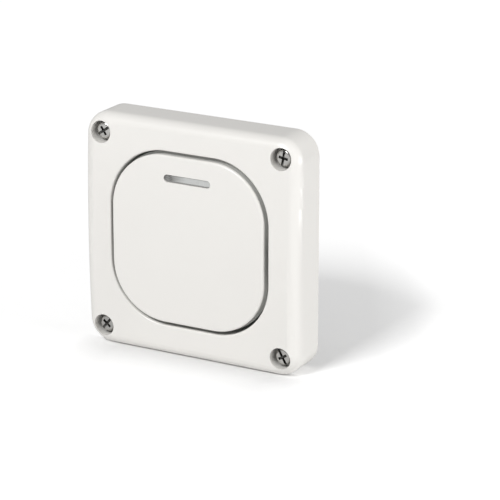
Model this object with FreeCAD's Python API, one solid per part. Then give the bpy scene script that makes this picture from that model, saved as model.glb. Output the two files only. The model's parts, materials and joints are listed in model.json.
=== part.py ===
import FreeCAD, Part
import math
import os

from FreeCAD import Vector

# The origin is the centre of the cover's back plane. -Y points out of the wall and +Z up.
# Lengths are in millimetres and angles in degrees. A depth is a distance in front of the back plane.

# Cover plate: an arched square moulding, highest along its horizontal middle line
PLATE_WIDTH = 82.0
PLATE_HEIGHT = 82.0
PLATE_CORNER_RADIUS = 8.4
EDGE_DEPTH = 13.8
CROWN_RISE = 1.4
FRONT_EDGE_RADIUS = 4.0
FRONT_WALL = 2.4
SIDE_WALL = 3.6

# Opening for the key, with a collar behind it
OPENING_SIDE_MARGIN = 10.8
OPENING_LEVEL_MARGIN = 10.45
OPENING_CORNER_RADIUS = 20.9
OPENING_RISE = 0.5
OPENING_EDGE_RADIUS = 0.5
COLLAR_WALL = 2.4
RIB_THICKNESS = 1.2
COVER_RIB_OFFSET = 15.0

# Fixing screws in their corner pockets
FIXING_INSET = 6.75
POCKET_RADIUS = 3.8
POCKET_FLOOR_DEPTH = 9.3
FIXING_BOSS_RADIUS = 5.2
FIXING_BOSS_SETBACK = 0.5
FIXING_THREAD_RADIUS = 1.5
FIXING_THREAD_DEPTH = 0.2
FIXING_HOLE_CLEARANCE = 0.2
FIXING_REACH = 6.0
FIXING_HEAD_RADIUS = 3.0
FIXING_HEAD_HEIGHT = 2.1
FIXING_TURNS = (35.0, 80.0, 50.0, 120.0)
HEAD_SLOT_WIDTH = 0.8
SEAL_THICKNESS = 1.0
SEAL_RADIUS = 2.9

# Gasket in the back rim
GASKET_INSET = 1.05
GASKET_WIDTH = 1.6
GASKET_THICKNESS = 1.2
SIDE_CLEARANCE = 0.05

# Key
KEY_GAP = 1.3
KEY_LIFT = 0.2
KEY_PROUD = 1.0
KEY_FACE_WALL = 2.0
KEY_SKIRT_WALL = 2.2
KEY_SKIRT_CLEARANCE = 0.4
KEY_EDGE_RADIUS = 0.7
KEY_RIM = 1.0
KEY_RIB_OFFSET = 12.0
KEY_RIB_SETBACK = 0.8
KEY_THROW = 4.4
PIVOT_DEPTH = 9.0
PIVOT_PIN_RADIUS = 1.2
PIVOT_LUG_RADIUS = 2.6
PIVOT_LUG_THICKNESS = 3.0
PIVOT_LUG_CLEARANCE = 0.4
RUNNING_CLEARANCE = 0.06

# Wiper ring round the key's skirt
WIPER_THICKNESS = 0.9
WIPER_LIP_REACH = 0.45
WIPER_LIP_SETBACK = 1.6
WIPER_LIP_THICKNESS = 0.7

# Sealing membrane
SHEET_THICKNESS = 1.0
LINER_THICKNESS = 0.8
LINER_DROP = 1.1
FLANGE_INSET = 0.4
FOLD_RADIUS = 7.2
FOLD_SIZE = 2.0
BOOT_WALL = 0.8
BOOT_SLACK = 0.3

# Drive finger of the key, and the dolly's fork that it moves
FINGER_RADIUS = 2.0
FINGER_ROOT_RADIUS = 4.5
FINGER_REACH = 11.0
FORK_REACH = 5.5
FORK_ARM = 2.0
FORK_SLACK = 0.45

# Clamp frame and its screws
FRAME_THICKNESS = 3.5
FRAME_GAP = 0.4
FRAME_CORNER_RADIUS = 4.0
FRAME_WINDOW_RADIUS = 12.0
FRAME_SCREW_INSET = 2.3
FRAME_SCREW_STEP = 9.5
FRAME_BOSS_RADIUS = 2.8
SMALL_SCREW_RADIUS = 1.05
SMALL_HEAD_RADIUS = 1.8
SMALL_HEAD_HEIGHT = 1.4
SMALL_SCREW_LENGTH = 6.5

# Lens, light guide and lamp, all on one level
LENS_INSET = 7.65
LENS_WIDTH = 17.8
LENS_HEIGHT = 2.55
LENS_RECESS = 0.35
LENS_GAP = 0.1
LENS_FLANGE_MARGIN = 1.3
LENS_FLANGE_THICKNESS = 1.0
GUIDE_WIDTH = 14.0
GUIDE_HEIGHT = 3.6
GUIDE_LENGTH = 1.9
GUIDE_GAP = 2.3
CUP_WIDTH = 16.4
CUP_HEIGHT = 6.0
CUP_WALL = 0.8
CUP_FLANGE_MARGIN = 1.5
LAMP_RADIUS = 1.8
LAMP_LENGTH = 11.0
LAMP_GAP = 0.2
LAMP_HOLDER_MARGIN = 0.3
LEAD_RADIUS = 0.35
LEAD_SPREAD = 6.3

# Mechanism housing
LID_LAMP_MARGIN = 5.4
LID_SIDE_FLANGE = 6.0
LID_END_FLANGE = 2.0
LID_THICKNESS = 2.5
LID_CORNER_RADIUS = 3.0
MECHANISM_SCREW_SIDE_INSET = 2.5
MECHANISM_SCREW_END_INSET = 9.0
MECHANISM_SCREW_LENGTH = 5.0
BASE_WIDTH = 36.0
BASE_WALL = 1.6
BASE_CORNER_RADIUS = 2.5
HOOK_OFFSET = 11.0
HOOK_WIDTH = 5.0
HOOK_THICKNESS = 1.4
HOOK_LENGTH = 7.4
HOOK_CATCH = 1.2

# Dolly and plunger
DOLLY_HALF_WIDTH = 3.6
DOLLY_BODY_LENGTH = 4.2
TRUNNION_RADIUS = 1.4
EAR_GAP = 0.3
EAR_THICKNESS = 1.8
EAR_MARGIN = 2.1
NECK_RADIUS = 2.7
NECK_END = 6.1
PLUNGER_RADIUS = 1.45
PLUNGER_LENGTH = 3.9
PLUNGER_TIP = 8.0
SPRING_WIRE_RADIUS = 0.18
SPRING_TURNS = 4.0
SPRING_SLACK = 0.05

# See-saw contact
BLADE_HALF_WIDTH = 2.6
BLADE_THICKNESS = 0.8
BLADE_END_MARGIN = 0.5
BLADE_GAP = 0.2
BLADE_PIN_RADIUS = 0.6
SEESAW_SWING = 9.0
TIP_SHARE = 0.46
TIP_RADIUS = 1.5
TIP_THICKNESS = 0.8
FIXED_TIP_THICKNESS = 0.65
TIP_SHANK_RADIUS = 0.7
CLOSED_GAP = 0.1

# Terminals
TERMINAL_SIZE = 7.0
TERMINAL_LENGTH = 9.4
WIRE_BORE_RADIUS = 1.7
WIRE_ENTRY_RADIUS = 2.2
TERMINAL_INSET = 2.4
STRIP_WIDTH = 5.0
STRIP_THICKNESS = 0.8
STRIP_CLEARANCE = 0.8
CHEEK_GAP = 0.8
TERMINAL_SCREW_RADIUS = 1.25
TERMINAL_HEAD_RADIUS = 1.9
TERMINAL_HEAD_HEIGHT = 1.5
SCREWDRIVER_RADIUS = 2.3
NEST_GAP = 0.15

# Worked-out sizes and places
OPENING_WIDTH = PLATE_WIDTH - 2 * OPENING_SIDE_MARGIN
OPENING_HEIGHT = PLATE_HEIGHT - 2 * OPENING_LEVEL_MARGIN
MIDDLE_DEPTH = EDGE_DEPTH + CROWN_RISE
CROWN_RADIUS = ((PLATE_HEIGHT / 2) ** 2 + CROWN_RISE**2) / (2 * CROWN_RISE)
CROWN_CENTRE_Y = CROWN_RADIUS - MIDDLE_DEPTH
KEY_WIDTH = OPENING_WIDTH - 2 * KEY_GAP
KEY_HEIGHT = OPENING_HEIGHT - 2 * KEY_GAP
KEY_CORNER_RADIUS = OPENING_CORNER_RADIUS - KEY_GAP
KEY_Z = OPENING_RISE + KEY_LIFT
KEY_DEPTH = MIDDLE_DEPTH + KEY_PROUD
FIXING_X = PLATE_WIDTH / 2 - FIXING_INSET
FIXING_Z = PLATE_HEIGHT / 2 - FIXING_INSET
FIXING_SHANK_RADIUS = FIXING_THREAD_RADIUS - FIXING_THREAD_DEPTH
LENS_LEVEL = KEY_Z + KEY_HEIGHT / 2 - LENS_INSET
LID_WIDTH = BASE_WIDTH + 2 * LID_SIDE_FLANGE
LID_HEIGHT = 2 * (LENS_LEVEL - KEY_Z + LID_LAMP_MARGIN)
BASE_HEIGHT = LID_HEIGHT - 2 * LID_END_FLANGE
MECHANISM_SCREW_X = LID_WIDTH / 2 - MECHANISM_SCREW_SIDE_INSET
MECHANISM_SCREW_Z = LID_HEIGHT / 2 - MECHANISM_SCREW_END_INSET
WAY_DISTANCE = BASE_HEIGHT / 2 - BASE_WALL - TERMINAL_INSET - TERMINAL_SIZE / 2
COMMON_DISTANCE = BASE_WIDTH / 2 - BASE_WALL - TERMINAL_INSET - TERMINAL_SIZE / 2
TIP_OFFSET = TIP_SHARE * WAY_DISTANCE
BLADE_HALF_LENGTH = TIP_OFFSET + TIP_RADIUS + BLADE_END_MARGIN
KEY_SKIRT_DEPTH = PIVOT_DEPTH + PIVOT_PIN_RADIUS + KEY_SKIRT_CLEARANCE
KEY_RIB_DEPTH = KEY_SKIRT_DEPTH + KEY_RIB_SETBACK
WIPER_LIP_DEPTH = KEY_SKIRT_DEPTH + WIPER_LIP_SETBACK
COLLAR_END_DEPTH = PIVOT_DEPTH - PIVOT_LUG_RADIUS - PIVOT_LUG_CLEARANCE
KEY_UNDERSIDE_RADIUS = CROWN_CENTRE_Y + KEY_DEPTH - KEY_FACE_WALL
KEY_UNDERSIDE_Y = CROWN_CENTRE_Y - math.sqrt(KEY_UNDERSIDE_RADIUS**2 - LENS_LEVEL**2)
GUIDE_FRONT = KEY_UNDERSIDE_Y + LENS_FLANGE_THICKNESS
GUIDE_BACK = GUIDE_FRONT + GUIDE_LENGTH
CUP_DEPTH = -GUIDE_BACK - GUIDE_GAP
LAMP_DEPTH = CUP_DEPTH - CUP_WALL - LAMP_RADIUS - LAMP_GAP
FRAME_FRONT = -(COLLAR_END_DEPTH - SHEET_THICKNESS)
FRAME_BACK = FRAME_FRONT + FRAME_THICKNESS
FRAME_WIDTH = PLATE_WIDTH - 2 * (SIDE_WALL + FRAME_GAP)
FRAME_HEIGHT = PLATE_HEIGHT - 2 * (SIDE_WALL + FRAME_GAP)
FRAME_SCREW_X = FIXING_X - FRAME_SCREW_STEP
FRAME_SCREW_Z = FRAME_HEIGHT / 2 - FRAME_SCREW_INSET
LID_BACK = FRAME_BACK + LID_THICKNESS
FINGER_TIP_Y = FINGER_REACH - PIVOT_DEPTH
DOLLY_Y = FINGER_TIP_Y + FORK_REACH
BOOT_INNER = FINGER_RADIUS + BOOT_SLACK
BOOT_OUTER = BOOT_INNER + BOOT_WALL
FORK_INNER = BOOT_OUTER + FORK_SLACK
FORK_OUTER = FORK_INNER + FORK_ARM
DOLLY_SWING = KEY_THROW * FINGER_REACH / FORK_REACH
PLUNGER_TIP_Y = DOLLY_Y + PLUNGER_TIP
BLADE_FRONT = PLUNGER_TIP_Y + BLADE_GAP
SEESAW_Y = BLADE_FRONT + BLADE_THICKNESS / 2
BLADE_BACK = BLADE_FRONT + BLADE_THICKNESS
TIP_SWEEP = (TIP_OFFSET + TIP_RADIUS) * math.sin(math.radians(SEESAW_SWING / 2))
FIXED_TIP_FRONT = BLADE_BACK + TIP_THICKNESS + TIP_SWEEP + CLOSED_GAP
STRIP_FRONT = FIXED_TIP_FRONT + FIXED_TIP_THICKNESS
STRIP_BACK = STRIP_FRONT + STRIP_THICKNESS
BASE_FLOOR = STRIP_BACK + STRIP_CLEARANCE
BASE_BACK = BASE_FLOOR + BASE_WALL
FAR = 4 * PLATE_WIDTH


def outline(width, height, radius, y, x=0.0, z=0.0):
    """Rounded rectangle about (x, z), drawn in the plane at y."""
    half_w = width / 2 - radius
    half_h = height / 2 - radius
    centres = [(half_w, half_h), (-half_w, half_h), (-half_w, -half_h), (half_w, -half_h)]

    def point(centre, quarters):
        turn = quarters * math.pi / 2
        return Vector(
            x + centre[0] + radius * math.cos(turn), y, z + centre[1] + radius * math.sin(turn)
        )

    edges = []
    for index, centre in enumerate(centres):
        ends = point(centre, index), point(centre, index + 1)
        edges.append(Part.Arc(ends[0], point(centre, index + 0.5), ends[1]).toShape())
        following = point(centres[(index + 1) % 4], index + 1)
        if ends[1].distanceToPoint(following) > 1e-6:
            edges.append(Part.makeLine(ends[1], following))
    return Part.Wire(edges)


def slab(width, height, radius, y0, y1, x=0.0, z=0.0):
    """Rounded rectangle carried from y0 to y1."""
    return Part.Face(outline(width, height, radius, y0, x, z)).extrude(Vector(0, y1 - y0, 0))


def band(width, height, radius, thickness, y0, y1, x=0.0, z=0.0):
    """Rounded rectangular ring of one wall thickness, measured inwards."""
    inner = slab(
        width - 2 * thickness, height - 2 * thickness, radius - thickness, y0 - 1, y1 + 1, x, z
    )
    return slab(width, height, radius, y0, y1, x, z).cut(inner)


def rod(radius, y0, y1, x=0.0, z=0.0):
    """Round bar along Y."""
    return Part.makeCylinder(radius, y1 - y0, Vector(x, y0, z), Vector(0, 1, 0))


def cross_rod(radius, x0, x1, y, z=0.0):
    """Round bar along X."""
    return Part.makeCylinder(radius, x1 - x0, Vector(x0, y, z), Vector(1, 0, 0))


def upright_rod(radius, z0, z1, x, y):
    """Round bar along Z."""
    return Part.makeCylinder(radius, z1 - z0, Vector(x, y, z0), Vector(0, 0, 1))


def block(x0, x1, y0, y1, z0, z1):
    """Rectangular block between two corners."""
    return Part.makeBox(x1 - x0, y1 - y0, z1 - z0, Vector(x0, y0, z0))


def crowned(shape, depth):
    """Keeps what lies behind the arched surface that has this depth at mid height."""
    reach = 0.75 * PLATE_HEIGHT
    radius = CROWN_CENTRE_Y + depth
    side_y = CROWN_CENTRE_Y - math.sqrt(radius**2 - reach**2)
    top = Vector(-PLATE_WIDTH, side_y, reach)
    bottom = Vector(-PLATE_WIDTH, side_y, -reach)
    arc = Part.Arc(top, Vector(-PLATE_WIDTH, -depth, 0), bottom).toShape()
    back = [Vector(-PLATE_WIDTH, FAR, -reach), Vector(-PLATE_WIDTH, FAR, reach)]
    sides = Part.makePolygon([bottom, *back, top]).Edges
    profile = Part.Face(Part.Wire([arc, *sides]))
    return shape.common(profile.extrude(Vector(2 * PLATE_WIDTH, 0, 0)))


def joined(first, *others):
    """One solid from several that meet."""
    return first.fuse(list(others)).removeSplitter()


def rounded_edges(shape, radius, chosen):
    """Rounds the edges for which chosen(bounding box) is true."""
    return shape.makeFillet(radius, [edge for edge in shape.Edges if chosen(edge.BoundBox)])


def turned(shape, angle, y):
    """Rocks a piece about the cross axis at y; a positive angle carries its upper part inwards."""
    piece = shape.copy()
    piece.rotate(Vector(0, y, 0), Vector(-1, 0, 0), angle)
    return piece


def raised(shape):
    """Lifts a piece drawn about Z = 0 to the key's centre level."""
    piece = shape.copy()
    piece.translate(Vector(0, 0, KEY_Z))
    return piece


def corners():
    """Signs of the four corners, left and right, upper and lower."""
    return [(side, level) for level in (1, -1) for side in (-1, 1)]


def fixing_places():
    """Centres of the fixing screws."""
    return [(side * FIXING_X, level * FIXING_Z) for side, level in corners()]


def frame_screw_places():
    """Centres of the clamp frame's screws, two above and two below the collar."""
    return [(side * FRAME_SCREW_X, level * FRAME_SCREW_Z) for side, level in corners()]


def mechanism_screw_places():
    """Centres of the four screws through the mechanism's lid."""
    return [
        (side * MECHANISM_SCREW_X, KEY_Z + level * MECHANISM_SCREW_Z) for side, level in corners()
    ]


def cover_outside():
    """The cover's outer form, solid, with its soft edges, its opening and its pockets."""
    body = slab(PLATE_WIDTH, PLATE_HEIGHT, PLATE_CORNER_RADIUS, -2 * MIDDLE_DEPTH, 0)
    body = crowned(body, MIDDLE_DEPTH)
    body = rounded_edges(body, FRONT_EDGE_RADIUS, lambda box: box.YMax < -EDGE_DEPTH / 2)
    opening = slab(
        OPENING_WIDTH, OPENING_HEIGHT, OPENING_CORNER_RADIUS, -2 * MIDDLE_DEPTH, 1, z=OPENING_RISE
    )
    body = body.cut(opening)

    def at_opening(box):
        within = max(box.XMax, -box.XMin) < OPENING_WIDTH / 2 + 0.1
        return box.YMax < -EDGE_DEPTH / 2 and within and box.ZMax < OPENING_HEIGHT / 2 + 1

    body = rounded_edges(body, OPENING_EDGE_RADIUS, at_opening)
    for place in fixing_places():
        body = body.cut(rod(POCKET_RADIUS, -2 * MIDDLE_DEPTH, -POCKET_FLOOR_DEPTH, *place))
    return body


def cover_cavity():
    """The hollow behind the cover's front, with room left for its collar, bosses and ribs."""
    front = -2 * MIDDLE_DEPTH
    hollow = slab(
        PLATE_WIDTH - 2 * SIDE_WALL,
        PLATE_HEIGHT - 2 * SIDE_WALL,
        PLATE_CORNER_RADIUS - SIDE_WALL,
        front,
        1,
    )
    collar = slab(
        OPENING_WIDTH + 2 * COLLAR_WALL,
        OPENING_HEIGHT + 2 * COLLAR_WALL,
        OPENING_CORNER_RADIUS + COLLAR_WALL,
        front,
        -COLLAR_END_DEPTH,
        z=OPENING_RISE,
    )
    kept = [collar]
    for place in fixing_places():
        kept.append(rod(FIXING_BOSS_RADIUS, front, -FIXING_BOSS_SETBACK, *place))
    for place in frame_screw_places():
        kept.append(rod(FRAME_BOSS_RADIUS, front, FRAME_FRONT, *place))
    rib_end = -COLLAR_END_DEPTH - RIB_THICKNESS / 2
    for offset in (-COVER_RIB_OFFSET, COVER_RIB_OFFSET):
        low = offset - RIB_THICKNESS / 2
        high = offset + RIB_THICKNESS / 2
        kept.append(block(-PLATE_WIDTH, PLATE_WIDTH, front, rib_end, low, high))
        kept.append(block(low, high, front, rib_end, -PLATE_HEIGHT, PLATE_HEIGHT))
    return crowned(hollow, MIDDLE_DEPTH - FRONT_WALL).cut(kept)


def cover_plate():
    """Moulded cover, hollow behind."""
    body = cover_outside().cut(cover_cavity())
    hole_radius = FIXING_THREAD_RADIUS + FIXING_HOLE_CLEARANCE
    for place in fixing_places():
        body = body.cut(rod(hole_radius, -2 * MIDDLE_DEPTH, 1, *place))
    for place in frame_screw_places():
        pilot_end = FRAME_BACK - SMALL_HEAD_HEIGHT - SMALL_SCREW_LENGTH - FIXING_HOLE_CLEARANCE
        body = body.cut(rod(SMALL_SCREW_RADIUS + SIDE_CLEARANCE, pilot_end, 0, *place))
    liner_seat = slab(
        OPENING_WIDTH + 2 * LINER_THICKNESS,
        OPENING_HEIGHT + 2 * LINER_THICKNESS,
        OPENING_CORNER_RADIUS + LINER_THICKNESS,
        -2 * MIDDLE_DEPTH,
        0,
        z=OPENING_RISE,
    )
    body = body.cut(crowned(liner_seat, MIDDLE_DEPTH - LINER_DROP))
    pin_radius = PIVOT_PIN_RADIUS + SIDE_CLEARANCE
    body = body.cut(cross_rod(pin_radius, -pin_outer_end(), pin_outer_end(), -PIVOT_DEPTH, KEY_Z))
    return body.cut(gasket_ring(0.0, 1.0))


def gasket_ring(clearance, overrun):
    """Ring in the back rim, or the cut for it when it runs past the rim."""
    inset = GASKET_INSET + clearance
    return band(
        PLATE_WIDTH - 2 * inset,
        PLATE_HEIGHT - 2 * inset,
        PLATE_CORNER_RADIUS - inset,
        GASKET_WIDTH - 2 * clearance,
        -GASKET_THICKNESS,
        overrun,
    )


def rear_gasket():
    """Gasket that seals the cover to the wall."""
    return gasket_ring(SIDE_CLEARANCE, 0.0)


def fixing_screw(turn):
    """Pan head screw, slotted and cross recessed, plain under the head and threaded beyond the boss."""
    seat = -POCKET_FLOOR_DEPTH - SEAL_THICKNESS
    top = seat - FIXING_HEAD_HEIGHT
    head = rod(FIXING_HEAD_RADIUS, top, seat)
    head = rounded_edges(head, 0.45 * FIXING_HEAD_HEIGHT, lambda box: box.YMax < seat - 0.1)
    half = HEAD_SLOT_WIDTH / 2
    slot = block(-FAR, FAR, top - 1, top + 0.35 * FIXING_HEAD_HEIGHT, -half, half)
    arm = 0.55 * FIXING_HEAD_RADIUS
    recess_floor = top + 0.6 * FIXING_HEAD_HEIGHT
    upright = block(-half, half, top - 1, recess_floor, -arm, arm)
    across = block(-arm, arm, top - 1, recess_floor, -half, half)
    head = head.cut([slot, upright, across])
    shank = rod(FIXING_SHANK_RADIUS, seat - 0.2, FIXING_REACH / 2)
    thread = rod(FIXING_THREAD_RADIUS, 0, FIXING_REACH)
    screw = joined(head, shank, thread)
    screw = rounded_edges(screw, 0.4, lambda box: box.YMin > FIXING_REACH - 0.1)
    screw.rotate(Vector(0, 0, 0), Vector(0, -1, 0), turn)
    return screw


def cover_screws():
    """The four fixing screws, each left at its own angle."""
    screws = []
    for place, turn in zip(fixing_places(), FIXING_TURNS):
        screw = fixing_screw(turn)
        screw.translate(Vector(place[0], 0, place[1]))
        screws.append(screw)
    return Part.makeCompound(screws)


def screw_seals():
    """Sealing rings squeezed under the heads."""
    rings = []
    seat = -POCKET_FLOOR_DEPTH - SEAL_THICKNESS
    ring = rod(SEAL_RADIUS, seat, -POCKET_FLOOR_DEPTH)
    ring = ring.cut(rod(FIXING_SHANK_RADIUS + SIDE_CLEARANCE, seat - 1, 0))
    ring = rounded_edges(ring, 0.3 * SEAL_THICKNESS, lambda box: box.XLength > 2 * SEAL_RADIUS - 0.1)
    for x, z in fixing_places():
        rings.append(ring.translated(Vector(x, 0, z)))
    return Part.makeCompound(rings)


def key_slab(margin, y0, y1):
    """The key's outline, made smaller by a margin."""
    return slab(
        KEY_WIDTH - 2 * margin,
        KEY_HEIGHT - 2 * margin,
        KEY_CORNER_RADIUS - margin,
        y0,
        y1,
        z=KEY_Z,
    )


def pin_outer_end():
    """Where the pivot pins end, just inside the collar's outer face."""
    return OPENING_WIDTH / 2 + COLLAR_WALL - 0.1


def lug_outer_face():
    """Outer face of the key's pivot lugs."""
    return KEY_WIDTH / 2 - WIPER_THICKNESS - 0.5


def drive_finger():
    """Finger that carries the key's motion through the membrane, leaning as the key is off."""
    root = -KEY_DEPTH + KEY_FACE_WALL / 2
    shaft = rod(FINGER_RADIUS, root, FINGER_TIP_Y)
    tip = Part.makeSphere(FINGER_RADIUS, Vector(0, FINGER_TIP_Y, 0))
    foot_length = -PIVOT_DEPTH - root
    foot = Part.makeCone(
        FINGER_ROOT_RADIUS, FINGER_RADIUS, foot_length, Vector(0, root, 0), Vector(0, 1, 0)
    )
    return raised(turned(joined(shaft, tip, foot), -KEY_THROW / 2, -PIVOT_DEPTH))


def key_cavity():
    """The hollow under the key's face, with room left for its ribs and light guide clips."""
    front = -2 * MIDDLE_DEPTH
    half_rib = RIB_THICKNESS / 2
    kept = []
    for level in (-KEY_RIB_OFFSET, 0, KEY_RIB_OFFSET):
        z = KEY_Z + level
        ends = z - half_rib, z + half_rib
        kept.append(block(-KEY_WIDTH, KEY_WIDTH, front, -KEY_RIB_DEPTH, *ends))
    for offset in (-KEY_RIB_OFFSET, KEY_RIB_OFFSET):
        ends = offset - half_rib, offset + half_rib
        kept.append(block(*ends, front, -KEY_RIB_DEPTH, -KEY_HEIGHT, KEY_HEIGHT))
    for side in (-1, 1):
        z = LENS_LEVEL + side * (GUIDE_HEIGHT / 2 + LENS_GAP + half_rib)
        half = GUIDE_WIDTH / 4
        kept.append(block(-half, half, front, -KEY_RIB_DEPTH, z - half_rib, z + half_rib))
    hollow = key_slab(KEY_SKIRT_WALL, front, 0)
    return crowned(hollow, KEY_DEPTH - KEY_FACE_WALL).cut(kept)


def pivot_lugs():
    """Lugs on the key's sides that turn on the pivot pins."""
    face = -KEY_DEPTH + KEY_FACE_WALL / 2
    outer = lug_outer_face()
    inner = outer - PIVOT_LUG_THICKNESS
    radius = PIVOT_LUG_RADIUS
    lugs = []
    for ends in ((-outer, -inner), (inner, outer)):
        web = block(*ends, face, -PIVOT_DEPTH, KEY_Z - radius, KEY_Z + radius)
        lugs.append(joined(web, cross_rod(radius, *ends, -PIVOT_DEPTH, KEY_Z)))
    return lugs


def rocker_key():
    """Moulded key: arched face, stepped skirt, ribs, pivot lugs and drive finger."""
    outside = crowned(key_slab(0, -2 * MIDDLE_DEPTH, -KEY_SKIRT_DEPTH), KEY_DEPTH)
    outside = rounded_edges(outside, KEY_EDGE_RADIUS, lambda box: box.YMax < -EDGE_DEPTH)
    body = outside.cut(key_cavity()).fuse([*pivot_lugs(), drive_finger()])
    ring_seat = band(
        KEY_WIDTH + 2,
        KEY_HEIGHT + 2,
        KEY_CORNER_RADIUS + 1,
        WIPER_THICKNESS + 1,
        -2 * MIDDLE_DEPTH,
        0,
        z=KEY_Z,
    )
    body = body.cut(crowned(ring_seat, KEY_DEPTH - KEY_RIM))
    bore = PIVOT_PIN_RADIUS + RUNNING_CLEARANCE
    outer = lug_outer_face() + 1
    inner = outer - PIVOT_LUG_THICKNESS - 2
    for ends in ((-outer, -inner), (inner, outer)):
        body = body.cut(cross_rod(bore, *ends, -PIVOT_DEPTH, KEY_Z))
    window = slab(
        LENS_WIDTH,
        LENS_HEIGHT,
        LENS_HEIGHT / 2 - 0.01,
        -2 * MIDDLE_DEPTH,
        -KEY_RIB_DEPTH,
        z=LENS_LEVEL,
    )
    return body.cut([window, lens_flange(LENS_GAP)])


def lens_flange(margin):
    """Flange of the lens, under the key's face."""
    flange = slab(
        LENS_WIDTH + 2 * (LENS_FLANGE_MARGIN + margin),
        LENS_HEIGHT + 2 * (LENS_FLANGE_MARGIN + margin),
        LENS_HEIGHT / 2 + LENS_FLANGE_MARGIN,
        -2 * MIDDLE_DEPTH,
        GUIDE_FRONT,
        z=LENS_LEVEL,
    )
    return crowned(flange, KEY_DEPTH - KEY_FACE_WALL)


def indicator_lens():
    """Slim lens with rounded ends, a little below the key's face, and its flange behind."""
    stem = slab(
        LENS_WIDTH - 2 * LENS_GAP,
        LENS_HEIGHT - 2 * LENS_GAP,
        LENS_HEIGHT / 2 - LENS_GAP - 0.01,
        -2 * MIDDLE_DEPTH,
        GUIDE_FRONT,
        z=LENS_LEVEL,
    )
    return joined(crowned(stem, KEY_DEPTH - LENS_RECESS), lens_flange(0.0))


def light_guide():
    """Clear bar that carries the lamp's light to the lens."""
    return slab(GUIDE_WIDTH, GUIDE_HEIGHT, 1.0, GUIDE_FRONT, GUIDE_BACK, z=LENS_LEVEL)


def key_seal_ring():
    """Wiper ring in the step of the key's skirt, with a lip towards the opening's wall."""
    ring = band(
        KEY_WIDTH - 0.2,
        KEY_HEIGHT - 0.2,
        KEY_CORNER_RADIUS - 0.1,
        WIPER_THICKNESS - 0.1,
        -2 * MIDDLE_DEPTH,
        -KEY_SKIRT_DEPTH,
        z=KEY_Z,
    )
    lip = band(
        KEY_WIDTH + 2 * WIPER_LIP_REACH,
        KEY_HEIGHT + 2 * WIPER_LIP_REACH,
        KEY_CORNER_RADIUS + WIPER_LIP_REACH,
        WIPER_LIP_REACH + WIPER_THICKNESS / 2,
        -WIPER_LIP_DEPTH,
        -WIPER_LIP_DEPTH + WIPER_LIP_THICKNESS,
        z=KEY_Z,
    )
    return joined(crowned(ring, KEY_DEPTH - KEY_RIM), lip)


def pivot_pins():
    """Two steel pins from the collar into the key's lugs."""
    inner = lug_outer_face() - PIVOT_LUG_THICKNESS + 0.3
    pins = [
        cross_rod(PIVOT_PIN_RADIUS, -pin_outer_end(), -inner, -PIVOT_DEPTH, KEY_Z),
        cross_rod(PIVOT_PIN_RADIUS, inner, pin_outer_end(), -PIVOT_DEPTH, KEY_Z),
    ]
    return Part.makeCompound(pins)


def finger_boot():
    """Round fold and closed boot of the membrane, turned from one profile about the finger."""
    front = -COLLAR_END_DEPTH
    back = FRAME_FRONT
    wall = BOOT_WALL
    edge = FOLD_RADIUS + FOLD_SIZE + wall

    def at(radius, y):
        return Vector(radius, y, 0)

    slope = math.sqrt(0.5)
    corners = [
        Part.makeLine(at(edge, back), at(edge, front)),
        Part.makeLine(at(edge, front), at(FOLD_RADIUS + FOLD_SIZE, front)),
        Part.Arc(
            at(FOLD_RADIUS + FOLD_SIZE, front),
            at(FOLD_RADIUS, front - FOLD_SIZE),
            at(FOLD_RADIUS - FOLD_SIZE, front),
        ).toShape(),
        Part.makeLine(at(FOLD_RADIUS - FOLD_SIZE, front), at(BOOT_INNER, front)),
        Part.makeLine(at(BOOT_INNER, front), at(BOOT_INNER, FINGER_TIP_Y)),
        Part.Arc(
            at(BOOT_INNER, FINGER_TIP_Y),
            at(slope * BOOT_INNER, FINGER_TIP_Y + slope * BOOT_INNER),
            at(0, FINGER_TIP_Y + BOOT_INNER),
        ).toShape(),
        Part.makeLine(at(0, FINGER_TIP_Y + BOOT_INNER), at(0, FINGER_TIP_Y + BOOT_OUTER)),
        Part.Arc(
            at(0, FINGER_TIP_Y + BOOT_OUTER),
            at(slope * BOOT_OUTER, FINGER_TIP_Y + slope * BOOT_OUTER),
            at(BOOT_OUTER, FINGER_TIP_Y),
        ).toShape(),
        Part.makeLine(at(BOOT_OUTER, FINGER_TIP_Y), at(BOOT_OUTER, back)),
        Part.makeLine(at(BOOT_OUTER, back), at(FOLD_RADIUS - FOLD_SIZE + wall, back)),
        Part.makeLine(
            at(FOLD_RADIUS - FOLD_SIZE + wall, back), at(FOLD_RADIUS - FOLD_SIZE + wall, front)
        ),
        Part.Arc(
            at(FOLD_RADIUS - FOLD_SIZE + wall, front),
            at(FOLD_RADIUS, front - FOLD_SIZE + wall),
            at(FOLD_RADIUS + FOLD_SIZE - wall, front),
        ).toShape(),
        Part.makeLine(
            at(FOLD_RADIUS + FOLD_SIZE - wall, front), at(FOLD_RADIUS + FOLD_SIZE - wall, back)
        ),
        Part.makeLine(at(FOLD_RADIUS + FOLD_SIZE - wall, back), at(edge, back)),
    ]
    profile = Part.Face(Part.Wire(corners))
    boot = profile.revolve(Vector(0, 0, 0), Vector(0, 1, 0), 360)
    return raised(turned(boot, -KEY_THROW / 2, -PIVOT_DEPTH))


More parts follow.
